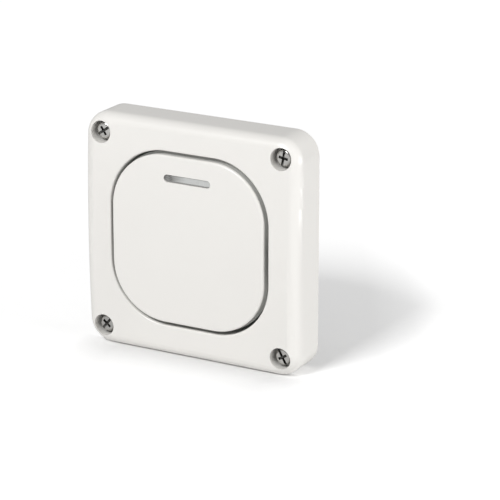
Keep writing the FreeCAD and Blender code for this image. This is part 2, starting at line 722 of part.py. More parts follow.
def sealing_membrane():
    """Elastomer sheet behind the key, with the liner of the opening, the fold and the boot."""
    margin = COLLAR_WALL - FLANGE_INSET
    sheet = slab(
        OPENING_WIDTH + 2 * margin,
        OPENING_HEIGHT + 2 * margin,
        OPENING_CORNER_RADIUS + margin,
        -COLLAR_END_DEPTH,
        FRAME_FRONT,
        z=OPENING_RISE,
    )
    fold_edge = FOLD_RADIUS + FOLD_SIZE + BOOT_WALL / 4
    sheet = sheet.cut(rod(fold_edge, -MIDDLE_DEPTH, 0, z=KEY_Z))
    sheet = sheet.cut(slab(CUP_WIDTH, CUP_HEIGHT, CUP_HEIGHT / 3, -MIDDLE_DEPTH, 0, z=LENS_LEVEL))
    liner = band(
        OPENING_WIDTH + 2 * LINER_THICKNESS,
        OPENING_HEIGHT + 2 * LINER_THICKNESS,
        OPENING_CORNER_RADIUS + LINER_THICKNESS,
        LINER_THICKNESS,
        -2 * MIDDLE_DEPTH,
        -COLLAR_END_DEPTH + SHEET_THICKNESS / 2,
        z=OPENING_RISE,
    )
    liner = crowned(liner, MIDDLE_DEPTH - LINER_DROP)
    body = joined(sheet, liner, finger_boot())
    pin_hole = PIVOT_PIN_RADIUS + FRAME_GAP
    return body.cut(cross_rod(pin_hole, -PLATE_WIDTH, PLATE_WIDTH, -PIVOT_DEPTH, KEY_Z))


def clamp_frame():
    """Plate that presses the membrane on the collar and carries the mechanism."""
    body = slab(FRAME_WIDTH, FRAME_HEIGHT, FRAME_CORNER_RADIUS, FRAME_FRONT, FRAME_BACK)
    for place in fixing_places():
        body = body.cut(rod(FIXING_BOSS_RADIUS + FRAME_GAP, -MIDDLE_DEPTH, 1, *place))
    for place in frame_screw_places():
        body = body.cut(rod(SMALL_SCREW_RADIUS + FIXING_HOLE_CLEARANCE, -MIDDLE_DEPTH, 1, *place))
        head_seat = FRAME_BACK - SMALL_HEAD_HEIGHT
        body = body.cut(rod(SMALL_HEAD_RADIUS + FIXING_HOLE_CLEARANCE, head_seat, 1, *place))
    for x, z in mechanism_screw_places():
        body = body.cut(rod(SMALL_SCREW_RADIUS + SIDE_CLEARANCE, -MIDDLE_DEPTH, 1, x, z))
    body = body.cut(rod(FRAME_WINDOW_RADIUS, -MIDDLE_DEPTH, 1, z=KEY_Z))
    lamp_hole = slab(
        CUP_WIDTH - 2 * CUP_WALL,
        CUP_HEIGHT - 2 * CUP_WALL,
        1.0,
        -MIDDLE_DEPTH,
        1,
        z=LENS_LEVEL,
    )
    return body.cut([lamp_hole, cup_flange(SIDE_CLEARANCE)])


def small_screw(length):
    """Round head screw whose head's seat is at y = 0 and whose shank points forward."""
    head = rod(SMALL_HEAD_RADIUS, 0, SMALL_HEAD_HEIGHT)
    head = rounded_edges(head, 0.4 * SMALL_HEAD_HEIGHT, lambda box: box.YMin > 0.1)
    slot = block(-FAR, FAR, 0.6 * SMALL_HEAD_HEIGHT, FAR, -0.25, 0.25)
    return joined(head.cut(slot), rod(SMALL_SCREW_RADIUS, -length, 0.2))


def frame_screws():
    """Screws that hold the clamp frame to the cover."""
    screws = []
    for x, z in frame_screw_places():
        screw = small_screw(SMALL_SCREW_LENGTH)
        screw.translate(Vector(x, FRAME_BACK - SMALL_HEAD_HEIGHT, z))
        screws.append(screw)
    return Part.makeCompound(screws)


def cup_flange(clearance):
    """Flange of the lamp window, let into the clamp frame."""
    return slab(
        CUP_WIDTH + 2 * (CUP_FLANGE_MARGIN + clearance),
        CUP_HEIGHT + 2 * (CUP_FLANGE_MARGIN + clearance),
        CUP_HEIGHT / 3 + CUP_FLANGE_MARGIN,
        FRAME_FRONT,
        FRAME_FRONT + CUP_WALL,
        z=LENS_LEVEL,
    )


def lamp_window():
    """Clear cup over the lamp, sealed in the membrane."""
    dome = slab(CUP_WIDTH, CUP_HEIGHT, CUP_HEIGHT / 3, -CUP_DEPTH, FRAME_FRONT + CUP_WALL, z=LENS_LEVEL)
    dome = rounded_edges(dome, CUP_WALL / 2, lambda box: box.YMax < -CUP_DEPTH + 0.1)
    inside = slab(
        CUP_WIDTH - 2 * CUP_WALL, CUP_HEIGHT - 2 * CUP_WALL, 1.0, -CUP_DEPTH + CUP_WALL, 0, z=LENS_LEVEL
    )
    return joined(dome, cup_flange(0.0)).cut(inside)


def lamp_body(radius, length):
    """Round body of the lamp, lying across."""
    return cross_rod(radius, -length / 2, length / 2, -LAMP_DEPTH, LENS_LEVEL)


def indicator_lamp():
    """Small glass lamp with soft ends."""
    return rounded_edges(lamp_body(LAMP_RADIUS, LAMP_LENGTH), 0.5, lambda box: box.XLength < 0.1)


def lamp_holder():
    """Cradle behind the lamp, standing on the mechanism's lid."""
    width = LAMP_LENGTH - 2 * LAMP_HOLDER_MARGIN
    height = CUP_HEIGHT - 2 * (CUP_WALL + LAMP_HOLDER_MARGIN)
    body = slab(width, height, 0.6, -LAMP_DEPTH + LAMP_RADIUS / 3, FRAME_BACK, z=LENS_LEVEL)
    return body.cut(lamp_body(LAMP_RADIUS + SIDE_CLEARANCE, FAR))


def bent_wire(points, radius, bend):
    """Round wire of straight runs joined by tangent arcs of one bend radius."""
    edges = []
    start = points[0]
    for before, corner, after in zip(points, points[1:], points[2:]):
        arriving = (before - corner).normalize()
        leaving = (after - corner).normalize()
        half = arriving.getAngle(leaving) / 2
        cut = bend / math.tan(half)
        middle = (arriving + leaving).normalize()
        first = corner + arriving * cut
        second = corner + leaving * cut
        centre = corner + middle * (bend / math.sin(half))
        edges.append(Part.makeLine(start, first))
        edges.append(Part.Arc(first, centre - middle * bend, second).toShape())
        start = second
    edges.append(Part.makeLine(start, points[-1]))
    path = Part.Wire(edges)
    direction = points[1] - points[0]
    section = Part.Wire([Part.makeCircle(radius, points[0], direction)])
    return path.makePipeShell([section], True, True)


def lamp_leads():
    """Two stiff leads, from the lamp's ends to the first way's terminal and to the common one."""
    bend = 3 * LEAD_RADIUS
    lamp_end = LAMP_LENGTH / 2
    start_y = -LAMP_DEPTH
    inside_y = LID_BACK + 4.0
    touch_y = BASE_FLOOR - 0.7 * TERMINAL_LENGTH
    way_z = KEY_Z + WAY_DISTANCE
    half = TERMINAL_SIZE / 2
    left = [
        Vector(-lamp_end + bend, start_y, LENS_LEVEL),
        Vector(-LEAD_SPREAD, start_y, LENS_LEVEL),
        Vector(-LEAD_SPREAD, inside_y, LENS_LEVEL),
        Vector(-LEAD_SPREAD, touch_y, way_z),
        Vector(-half, touch_y, way_z),
    ]
    right = [
        Vector(lamp_end - bend, start_y, LENS_LEVEL),
        Vector(LEAD_SPREAD, start_y, LENS_LEVEL),
        Vector(LEAD_SPREAD, inside_y, LENS_LEVEL),
        Vector(COMMON_DISTANCE, touch_y, KEY_Z + half + 4.0),
        Vector(COMMON_DISTANCE, touch_y, KEY_Z + half),
    ]
    wires = [bent_wire(points, LEAD_RADIUS, bend) for points in (left, right)]
    return Part.makeCompound([wire.cut(lamp_body(LAMP_RADIUS, LAMP_LENGTH)) for wire in wires])


def mechanism_lid():
    """Front lid of the mechanism: flange, bearing ears for the dolly and hooks for the base."""
    body = slab(LID_WIDTH, LID_HEIGHT, LID_CORNER_RADIUS, FRAME_BACK, LID_BACK)
    inner = DOLLY_HALF_WIDTH + EAR_GAP
    outer = inner + EAR_THICKNESS
    ear = TRUNNION_RADIUS + EAR_MARGIN
    parts = []
    for ends in ((-outer, -inner), (inner, outer)):
        parts.append(block(*ends, LID_BACK - 1, DOLLY_Y, -ear, ear))
        parts.append(cross_rod(ear, *ends, DOLLY_Y))
    wall = BASE_HEIGHT / 2
    hook_end = LID_BACK + HOOK_LENGTH
    for side, level in corners():
        x0 = side * HOOK_OFFSET - HOOK_WIDTH / 2
        x1 = x0 + HOOK_WIDTH
        arm = sorted((level * (wall + NEST_GAP), level * (wall + NEST_GAP + HOOK_THICKNESS)))
        parts.append(block(x0, x1, LID_BACK - 1, hook_end, *arm))
        catch = sorted((level * (wall - BASE_WALL / 2), level * (wall + HOOK_THICKNESS)))
        parts.append(block(x0, x1, hook_end - HOOK_CATCH, hook_end, *catch))
    body = joined(body, *parts)
    slot_height = 2 * (FORK_OUTER + 1.3)
    slot_width = 2 * (DOLLY_HALF_WIDTH + 1.1)
    body = body.cut(slab(slot_width, slot_height, 2.0, FRAME_BACK - 1, LID_BACK))
    inner_space = block(-inner, inner, LID_BACK, FAR, -2 * ear, 2 * ear)
    body = body.cut(inner_space)
    body = raised(body.cut(cross_rod(TRUNNION_RADIUS + RUNNING_CLEARANCE, -FAR, FAR, DOLLY_Y)))
    for x, z in mechanism_screw_places():
        body = body.cut(rod(SMALL_SCREW_RADIUS + FIXING_HOLE_CLEARANCE, -MIDDLE_DEPTH, FAR, x, z))
    for side in (-1, 1):
        body = body.cut(rod(2 * LEAD_RADIUS, -MIDDLE_DEPTH, FAR, side * LEAD_SPREAD, LENS_LEVEL))
    return body


def mechanism_screws():
    """Screws that hold the mechanism to the clamp frame."""
    screws = []
    for x, z in mechanism_screw_places():
        screw = small_screw(MECHANISM_SCREW_LENGTH)
        screw.translate(Vector(x, LID_BACK, z))
        screws.append(screw)
    return Part.makeCompound(screws)


def terminal_turns():
    """Turn about Y and distance from the centre of each terminal: way one, way two and common."""
    return {"one": (0, WAY_DISTANCE), "two": (180, WAY_DISTANCE), "common": (90, COMMON_DISTANCE)}


def spun(shape, angle):
    """Turns a piece drawn towards +Z about the mechanism's Y axis."""
    piece = shape.copy()
    piece.rotate(Vector(0, 0, 0), Vector(0, 1, 0), angle)
    return piece


def terminal_front():
    """Front plane of the terminal blocks."""
    return BASE_FLOOR - TERMINAL_LENGTH


def terminal_screw_y():
    """Level of the clamp screws along the wire bore."""
    return BASE_FLOOR - TERMINAL_LENGTH / 2


def nest(distance):
    """Two walls that hold a terminal block in the base."""
    half = TERMINAL_SIZE / 2
    walls = []
    for side in (-1, 1):
        ends = sorted((side * (half + NEST_GAP), side * (half + NEST_GAP + RIB_THICKNESS)))
        front = terminal_screw_y()
        walls.append(block(*ends, front, BASE_FLOOR + 0.5, distance - half, distance + half))
    return walls


def mechanism_base():
    """Housing with its nests, wire entries, screwdriver holes and windows for the hooks."""
    body = slab(BASE_WIDTH, BASE_HEIGHT, BASE_CORNER_RADIUS, LID_BACK, BASE_BACK)
    body = rounded_edges(body, 0.8, lambda box: box.YMin > BASE_BACK - 0.1)
    inside = slab(
        BASE_WIDTH - 2 * BASE_WALL,
        BASE_HEIGHT - 2 * BASE_WALL,
        BASE_CORNER_RADIUS - BASE_WALL,
        LID_BACK - 1,
        BASE_FLOOR,
    )
    body = body.cut(inside)
    walls = []
    cuts = []
    for angle, distance in terminal_turns().values():
        walls.extend(spun(wall, angle) for wall in nest(distance))
        entry = rod(WIRE_ENTRY_RADIUS, BASE_FLOOR - 1, BASE_BACK + 1, z=distance)
        start = distance + TERMINAL_SIZE / 2
        reach = upright_rod(SCREWDRIVER_RADIUS, start, FAR, 0, terminal_screw_y())
        cuts.append(spun(entry, angle))
        cuts.append(spun(reach, angle))
    body = joined(body, *walls)
    wall = BASE_HEIGHT / 2
    for side, level in corners():
        x0 = side * HOOK_OFFSET - HOOK_WIDTH / 2 - NEST_GAP
        x1 = x0 + HOOK_WIDTH + 2 * NEST_GAP
        ends = sorted((level * (wall - BASE_WALL - 1), level * (wall + 1)))
        hook_end = LID_BACK + HOOK_LENGTH + NEST_GAP
        cuts.append(block(x0, x1, hook_end - HOOK_CATCH - 2 * NEST_GAP, hook_end, *ends))
    return raised(body.cut(cuts))


def off_dolly(shape):
    """Sets a piece drawn with the dolly upright to the off position."""
    return raised(turned(shape, DOLLY_SWING / 2, DOLLY_Y))


def actuator_dolly():
    """Inner rocker: fork round the boot, trunnions and the plunger's guide."""
    front = DOLLY_Y - FORK_REACH - 1.7
    body_front = FINGER_TIP_Y + FORK_INNER
    body_back = body_front + DOLLY_BODY_LENGTH
    chamfer = 0.4
    corners = [
        (front, FORK_INNER),
        (front, FORK_OUTER - chamfer),
        (front + chamfer, FORK_OUTER),
        (body_back, FORK_OUTER),
        (body_back, -FORK_OUTER),
        (front + chamfer, -FORK_OUTER),
        (front, -FORK_OUTER + chamfer),
        (front, -FORK_INNER),
        (body_front, -FORK_INNER),
        (body_front, FORK_INNER),
        (front, FORK_INNER),
    ]
    points = [Vector(-DOLLY_HALF_WIDTH, y, z) for y, z in corners]
    body = Part.Face(Part.makePolygon(points)).extrude(Vector(2 * DOLLY_HALF_WIDTH, 0, 0))
    trunnion_end = DOLLY_HALF_WIDTH + EAR_GAP + EAR_THICKNESS
    neck = rod(NECK_RADIUS, body_back - 1, DOLLY_Y + NECK_END)
    body = joined(body, neck, cross_rod(TRUNNION_RADIUS, -trunnion_end, trunnion_end, DOLLY_Y))
    bore = rod(PLUNGER_RADIUS + RUNNING_CLEARANCE, bore_floor(), FAR)
    return off_dolly(body.cut(bore))


def bore_floor():
    """Floor of the plunger's bore, just behind the trunnions."""
    return DOLLY_Y + TRUNNION_RADIUS + 0.3


def plunger_back():
    """The plunger's inner end."""
    return PLUNGER_TIP_Y - PLUNGER_LENGTH


def plunger():
    """Round plunger with a ball end."""
    ball_y = PLUNGER_TIP_Y - PLUNGER_RADIUS
    stem = rod(PLUNGER_RADIUS, plunger_back(), ball_y)
    return off_dolly(joined(stem, Part.makeSphere(PLUNGER_RADIUS, Vector(0, ball_y, 0))))


def plunger_spring():
    """Coil spring between the bore's floor and the plunger."""
    gap = plunger_back() - bore_floor()
    height = gap - 2 * (SPRING_WIRE_RADIUS + SPRING_SLACK)
    coil_radius = PLUNGER_RADIUS - 2.2 * SPRING_WIRE_RADIUS
    helix = Part.makeHelix(height / SPRING_TURNS, height, coil_radius)
    start = Vector(coil_radius, 0, 0)
    section = Part.makeCircle(SPRING_WIRE_RADIUS, start, Vector(0, 1, 0))
    spring = Part.Wire(helix.Edges).makePipeShell([Part.Wire([section])], True, True)
    spring.rotate(Vector(0, 0, 0), Vector(1, 0, 0), -90)
    spring.translate(Vector(0, bore_floor() + SPRING_WIRE_RADIUS + SPRING_SLACK, 0))
    return off_dolly(spring)


def off_blade(shape):
    """Sets a piece drawn with the blade upright to the off position."""
    return raised(turned(shape, -SEESAW_SWING / 2, SEESAW_Y))


def seesaw_contact():
    """Rocking blade with side pins."""
    half = BLADE_HALF_WIDTH
    blade = block(-half, half, BLADE_FRONT, BLADE_BACK, -BLADE_HALF_LENGTH, BLADE_HALF_LENGTH)
    blade = rounded_edges(blade, 1.0, lambda box: box.YLength > BLADE_THICKNESS - 0.01)
    pin_end = half + CHEEK_GAP + STRIP_THICKNESS
    pins = [
        cross_rod(BLADE_PIN_RADIUS, -pin_end, -half + 0.3, SEESAW_Y),
        cross_rod(BLADE_PIN_RADIUS, half - 0.3, pin_end, SEESAW_Y),
    ]
    blade = joined(blade, *pins)
    hole = TIP_SHANK_RADIUS + 0.02
    for z in (-TIP_OFFSET, TIP_OFFSET):
        blade = blade.cut(rod(hole, BLADE_FRONT - 1, BLADE_BACK + 1, z=z))
    return off_blade(blade)


def rivet(front, back, shank_end, z):
    """Contact rivet: a low head between front and back, and a shank to shank_end."""
    head = rod(TIP_RADIUS, front, back, z=z)
    ends = sorted((shank_end, (front + back) / 2))
    return joined(head, rod(TIP_SHANK_RADIUS, *ends, z=z))


def moving_contact_tips():
    """Rivets at the blade's two ends."""
    back = BLADE_BACK + TIP_THICKNESS
    tips = []
    for z in (-TIP_OFFSET, TIP_OFFSET):
        tips.append(off_blade(rivet(BLADE_BACK, back, BLADE_FRONT, z)))
    return Part.makeCompound(tips)


def fixed_contact_tips():
    """Rivets on the two way strips."""
    tips = []
    for z in (-TIP_OFFSET, TIP_OFFSET):
        tips.append(raised(rivet(FIXED_TIP_FRONT, STRIP_FRONT, STRIP_BACK, z)))
    return Part.makeCompound(tips)


def terminal_block(distance):
    """Brass block with a wire bore and a threaded hole for its clamp screw."""
    half = TERMINAL_SIZE / 2
    body = block(-half, half, terminal_front(), BASE_FLOOR, distance - half, distance + half)
    body = rounded_edges(body, 0.5, lambda box: box.YLength > TERMINAL_LENGTH - 0.01)
    return body


def bored(body, distance):
    """Adds the wire bore and the screw hole to a terminal."""
    body = body.cut(rod(WIRE_BORE_RADIUS, terminal_front() - 1, BASE_FLOOR + 1, z=distance))
    hole = TERMINAL_SCREW_RADIUS + SIDE_CLEARANCE
    return body.cut(upright_rod(hole, distance, distance + TERMINAL_SIZE, 0, terminal_screw_y()))


def way_terminal(angle):
    """Terminal of one way, with the strip that carries its fixed contact."""
    inner = TIP_OFFSET - TIP_RADIUS
    outer = WAY_DISTANCE - TERMINAL_SIZE / 2 + 1
    strip = block(-STRIP_WIDTH / 2, STRIP_WIDTH / 2, STRIP_FRONT, STRIP_BACK, inner, outer)
    body = bored(joined(terminal_block(WAY_DISTANCE), strip), WAY_DISTANCE)
    body = body.cut(rod(TIP_SHANK_RADIUS + 0.02, STRIP_FRONT - 1, STRIP_BACK + 1, z=TIP_OFFSET))
    return raised(spun(body, angle))


def common_terminal():
    """Common terminal, with the bracket that bears the blade's pins."""
    half = STRIP_WIDTH / 2
    inner = BLADE_HALF_WIDTH + CHEEK_GAP
    outer = inner + STRIP_THICKNESS
    near_block = COMMON_DISTANCE - TERMINAL_SIZE / 2 + 1
    parts = [block(-half, half, STRIP_FRONT, STRIP_BACK, -outer, near_block)]
    for ends in ((-outer, -inner), (inner, outer)):
        parts.append(block(-half, half, SEESAW_Y, STRIP_BACK, *ends))
        parts.append(upright_rod(half, *ends, 0, SEESAW_Y))
    body = bored(joined(terminal_block(COMMON_DISTANCE), *parts), COMMON_DISTANCE)
    hole = upright_rod(BLADE_PIN_RADIUS + RUNNING_CLEARANCE, -outer - 1, outer + 0.5, 0, SEESAW_Y)
    return raised(spun(body.cut(hole), 90))


def terminal_screws():
    """Clamp screws of the three terminals."""
    y = terminal_screw_y()
    screws = []
    for angle, distance in terminal_turns().values():
        tip = distance + WIRE_BORE_RADIUS + 0.2
        seat = distance + TERMINAL_SIZE / 2 + 0.3
        head = upright_rod(TERMINAL_HEAD_RADIUS, seat, seat + TERMINAL_HEAD_HEIGHT, 0, y)
        slot = block(-FAR, FAR, y - 0.3, y + 0.3, seat + 0.5 * TERMINAL_HEAD_HEIGHT, FAR)
        screw = joined(head.cut(slot), upright_rod(TERMINAL_SCREW_RADIUS, tip, seat + 0.2, 0, y))
        screws.append(raised(spun(screw, angle)))
    return Part.makeCompound(screws)


PIECES = {
    "cover_plate": cover_plate,
    "cover_screws": cover_screws,
    "screw_seals": screw_seals,
    "rear_gasket": rear_gasket,
    "rocker_key": rocker_key,
    "key_seal_ring": key_seal_ring,
    "indicator_lens": indicator_lens,
    "light_guide": light_guide,
    "pivot_pins": pivot_pins,
    "sealing_membrane": sealing_membrane,
    "clamp_frame": clamp_frame,
    "frame_screws": frame_screws,
    "lamp_window": lamp_window,
    "indicator_lamp": indicator_lamp,
    "lamp_holder": lamp_holder,
    "lamp_leads": lamp_leads,
    "mechanism_lid": mechanism_lid,
    "mechanism_screws": mechanism_screws,
    "mechanism_base": mechanism_base,
    "actuator_dolly": actuator_dolly,
    "plunger": plunger,
    "plunger_spring": plunger_spring,
    "seesaw_contact": seesaw_contact,
    "moving_contact_tips": moving_contact_tips,
    "common_terminal": common_terminal,
    "way_one_terminal": lambda: way_terminal(0),
    "way_two_terminal": lambda: way_terminal(180),
    "fixed_contact_tips": fixed_contact_tips,
    "terminal_screws": terminal_screws,
}

os.makedirs("parts", exist_ok=True)
for name, build in PIECES.items():
    shape = build()
    print(f"{name}: {len(shape.Solids)} solid(s), {shape.Volume:.1f} mm3, valid {shape.isValid()}")
    shape.exportStep(f"parts/{name}.step")
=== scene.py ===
"""Looks of a square weatherproof rocker switch: surfaces, finishes, studio and camera.

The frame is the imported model's: the origin is the centre of the cover's back plane, -Y points
out of the wall towards the user and +Z up. Finishes, studio and camera are sized in metres,
and the pieces in millimetres that MM turns into metres.
"""

import json
import logging
import math
from dataclasses import dataclass, replace
from enum import Enum
from typing import Sequence

import bmesh
import bpy
import numpy as np
from mathutils import Matrix, Vector

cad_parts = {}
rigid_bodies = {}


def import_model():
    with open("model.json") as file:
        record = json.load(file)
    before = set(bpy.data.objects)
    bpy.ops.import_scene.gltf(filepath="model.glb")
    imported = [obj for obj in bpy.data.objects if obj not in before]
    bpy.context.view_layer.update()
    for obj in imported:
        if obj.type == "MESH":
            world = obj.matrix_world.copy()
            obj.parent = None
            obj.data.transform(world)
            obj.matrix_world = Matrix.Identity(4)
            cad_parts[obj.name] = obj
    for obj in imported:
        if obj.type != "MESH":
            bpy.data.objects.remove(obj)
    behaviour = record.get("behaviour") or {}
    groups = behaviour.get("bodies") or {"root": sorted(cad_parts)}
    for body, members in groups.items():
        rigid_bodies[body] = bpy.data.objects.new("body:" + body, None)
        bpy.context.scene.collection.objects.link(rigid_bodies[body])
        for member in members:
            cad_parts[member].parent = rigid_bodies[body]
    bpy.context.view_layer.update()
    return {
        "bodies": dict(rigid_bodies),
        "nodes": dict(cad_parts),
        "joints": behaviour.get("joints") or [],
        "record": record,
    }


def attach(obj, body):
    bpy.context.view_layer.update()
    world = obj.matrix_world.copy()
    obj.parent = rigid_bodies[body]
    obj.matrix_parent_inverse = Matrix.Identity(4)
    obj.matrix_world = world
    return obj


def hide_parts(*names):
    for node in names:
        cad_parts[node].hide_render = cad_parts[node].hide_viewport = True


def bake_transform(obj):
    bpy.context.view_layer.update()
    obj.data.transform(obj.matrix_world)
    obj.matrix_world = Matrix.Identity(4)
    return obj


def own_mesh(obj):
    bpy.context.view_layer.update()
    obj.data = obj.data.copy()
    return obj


LOG = logging.getLogger("switch")

MM = 0.001
# Distance of the cover's fixing screws from its middle lines, in millimetres.
FIXING_REACH = 34.25
Point = tuple[float, float, float]
Colour = tuple[float, float, float]
Knots = tuple[tuple[float, float], ...]
Socket = bpy.types.NodeSocket


def srgb(red: int, green: int, blue: int) -> Colour:
    """Turns a display colour of 0 to 255 per channel into linear light.

    Above the dark end, the linear value is ((v + 0.055) / 1.055) to the power 2.4,
    with v the channel divided by 255.

    Args:
        red: Red channel, 0 to 255.
        green: Green channel, 0 to 255.
        blue: Blue channel, 0 to 255.

    Returns:
        The linear red, green and blue.
    """
    values = np.array([red, green, blue], float) / 255.0
    linear = np.where(values <= 0.04045, values / 12.92, ((values + 0.055) / 1.055) ** 2.4)
    return float(linear[0]), float(linear[1]), float(linear[2])


class NodeGraph:
    """A node tree with short calls for the nodes that the looks are made of."""

    def __init__(self, tree: bpy.types.NodeTree) -> None:
        """Takes the node tree to add to."""
        self.tree = tree

    def add(self, kind: str) -> bpy.types.Node:
        """Adds a node, named without the prefix that all shader nodes share."""
        return self.tree.nodes.new(f"ShaderNode{kind}")

    def feed(self, source: Socket | float, target: Socket) -> None:
        """Links a socket to an input, or sets the input to a number."""
        if isinstance(source, bpy.types.NodeSocket):
            self.tree.links.new(source, target)
        else:
            target.default_value = source

    def math(self, operation: str, *values: Socket | float) -> Socket:
        """Adds one step of arithmetic.

        Args:
            operation: Name of the operation.
            *values: Its values, sockets or numbers.

        Returns:
            The result.
        """
        step = self.add("Math")
        step.operation = operation
        for value, target in zip(values, step.inputs):
            self.feed(value, target)
        return step.outputs[0]

    def place(self) -> Socket:
        """Reads the object's own coordinates."""
        return self.add("TexCoord").outputs["Object"]

    def axes(self) -> bpy.types.NodeOutputs:
        """Splits the object's own coordinates.

        Returns:
            Outputs named X, Y and Z.
        """
        split = self.add("SeparateXYZ")
        self.feed(self.place(), split.inputs[0])
        return split.outputs

    def spread(self, value: Socket, low: float, high: float,
               to: tuple[float, float] = (0.0, 1.0)) -> Socket:
        """Carries a value from one range to another.

        Args:
            value: The value.
            low: Value that becomes the new range's first end.
            high: Value that becomes its second end.
            to: The new range.

        Returns:
            The carried value, held at both ends.
        """
        node = self.add("MapRange")
        for name, number in zip(("From Min", "From Max", "To Min", "To Max"), (low, high, *to)):
            node.inputs[name].default_value = number
        self.feed(value, node.inputs["Value"])
        return node.outputs["Result"]

    def noise(self, scale: float, detail: float, stretch: Point = (1, 1, 1)) -> Socket:
        """Adds a noise field over the object.

        Args:
            scale: Features per metre.
            detail: Octaves of the noise.
            stretch: Scale along each axis.

        Returns:
            The noise's value between 0 and 1.
        """
        mapping = self.add("Mapping")
        mapping.inputs["Scale"].default_value = stretch
        self.feed(self.place(), mapping.inputs["Vector"])
        noise = self.add("TexNoise")
        noise.inputs["Scale"].default_value = scale
        noise.inputs["Detail"].default_value = detail
        self.feed(mapping.outputs["Vector"], noise.inputs["Vector"])
        return noise.outputs["Fac"]

    def ramp(self, value: Socket, stops: Sequence[tuple[float, Colour]]) -> Socket:
        """Looks a value up in a ramp of colours.

        Args:
            value: The value, 0 to 1.
            stops: Values and their colours, in rising order.

        Returns:
            The colour, held at both ends.
        """
        node = self.add("ValToRGB")
        elements = node.color_ramp.elements
        for element, (position, colour) in zip(elements, (stops[0], stops[-1])):
            element.position, element.color = position, (*colour, 1)
        for position, colour in stops[1:-1]:
            elements.new(position).color = (*colour, 1)
        self.feed(value, node.inputs["Fac"])
        return node.outputs["Color"]

    def curve(self, value: Socket, knots: Knots) -> Socket:
        """Looks a value up in a curve of straight lines.

        Args:
            value: The value.
            knots: Points of the curve, the first at 0.

        Returns:
            The curve's height at the value, held at both ends.
        """
        farthest = knots[-1][0]
        shades = [(reach / farthest, (height,) * 3) for reach, height in knots]
        return self.ramp(self.math("DIVIDE", value, farthest), shades)

    def mix(self, first: Socket, second: Colour, share: Socket) -> Socket:
        """Mixes a colour into another.

        Args:
            first: The colour to start from.
            second: The colour to mix in.
            share: How much of the second.

        Returns:
            The mixed colour.
        """
        node = self.add("Mix")
        node.data_type = "RGBA"
        node.inputs["B"].default_value = (*second, 1)
        self.feed(first, node.inputs["A"])
        self.feed(share, node.inputs["Factor"])
        return node.outputs["Result"]


class Grain(Enum):
    """Relief that a surface's bump follows."""

    MOULDED = "moulded"
    BRUSHED = "brushed"
    TURNED = "turned"

    def height(self, graph: NodeGraph, scale: float) -> Socket:
        """Adds the height field of this relief.

        Args:
            graph: The material's nodes.
            scale: Features per metre.

        Returns:
            The height.
        """
        if self is Grain.BRUSHED:
            return graph.noise(scale, 3, (1, 0.08, 0.08))
        if self is Grain.TURNED:
            return graph.noise(scale, 3, (1, 0.15, 1))
        return graph.noise(scale, 2)


@dataclass(frozen=True)
class Finish:
    """One procedural finish.

    Attributes:
        name: Material name.
        colour: Linear base colour.
        roughness: Mean roughness of the surface.
        metallic: 1 for bare metal, 0 for everything else.
        variation: How far the colour drifts between light and dark patches, 0 to 1.
        grain: Kind of relief.
        grain_scale: Relief features per metre.
        grain_depth: Strength of the relief, 0 to 1.
        rough_drift: How far the roughness drifts over the surface.
        transmission: Share of light that passes through.
        patches: Patches of colour per metre.
        patch_ends: Noise at which a patch is darkest and lightest.
        worn_patches: Patches of roughness per metre.
        smoothest: Least roughness that the drift may reach.
        bump_height: Height of the relief at full strength.
    """

    name: str
    colour: Colour
    roughness: float
    metallic: float = 0.0
    variation: float = 0.04
    grain: Grain = Grain.MOULDED
    grain_scale: float = 2600.0
    grain_depth: float = 0.06
    rough_drift: float = 0.06
    transmission: float = 0.0
    patches: float = 30.0
    patch_ends: tuple[float, float] = (0.25, 0.75)
    worn_patches: float = 60.0
    smoothest: float = 0.03
    bump_height: float = 0.0001

    def build(self) -> bpy.types.Material:
        """Makes the material's node tree.

        Returns:
            The new material.
        """
        material = bpy.data.materials.new(self.name)
        material.use_nodes = True
        sockets = material.node_tree.nodes["Principled BSDF"].inputs
        sockets["Metallic"].default_value = self.metallic
        sockets["Transmission Weight"].default_value = self.transmission
        graph = NodeGraph(material.node_tree)
        graph.feed(self._colour(graph), sockets["Base Color"])
        graph.feed(self._roughness(graph), sockets["Roughness"])
        bump = graph.add("Bump")
        bump.inputs["Strength"].default_value = self.grain_depth
        bump.inputs["Distance"].default_value = self.bump_height
        graph.feed(self.grain.height(graph, self.grain_scale), bump.inputs["Height"])
        graph.feed(bump.outputs["Normal"], sockets["Normal"])
        return material

    def _colour(self, graph: NodeGraph) -> Socket:
        """Drifts the base colour between a slightly darker and a slightly lighter shade.

        Args:
            graph: The material's nodes.

        Returns:
            The colour.
        """
        low = tuple(channel * (1 - self.variation) for channel in self.colour)
        high = tuple(min(1.0, channel * (1 + self.variation / 2)) for channel in self.colour)
        patch = graph.noise(self.patches, 1.5)
        return graph.ramp(patch, tuple(zip(self.patch_ends, (low, high))))

    def _roughness(self, graph: NodeGraph) -> Socket:
        """Drifts the roughness, as handling and moulding leave it.

        Args:
            graph: The material's nodes.

        Returns:
            The roughness.
        """
        low = max(self.smoothest, self.roughness - self.rough_drift)
        high = min(1.0, self.roughness + self.rough_drift)
        return graph.spread(graph.noise(self.worn_patches, 2), 0.0, 1.0, (low, high))


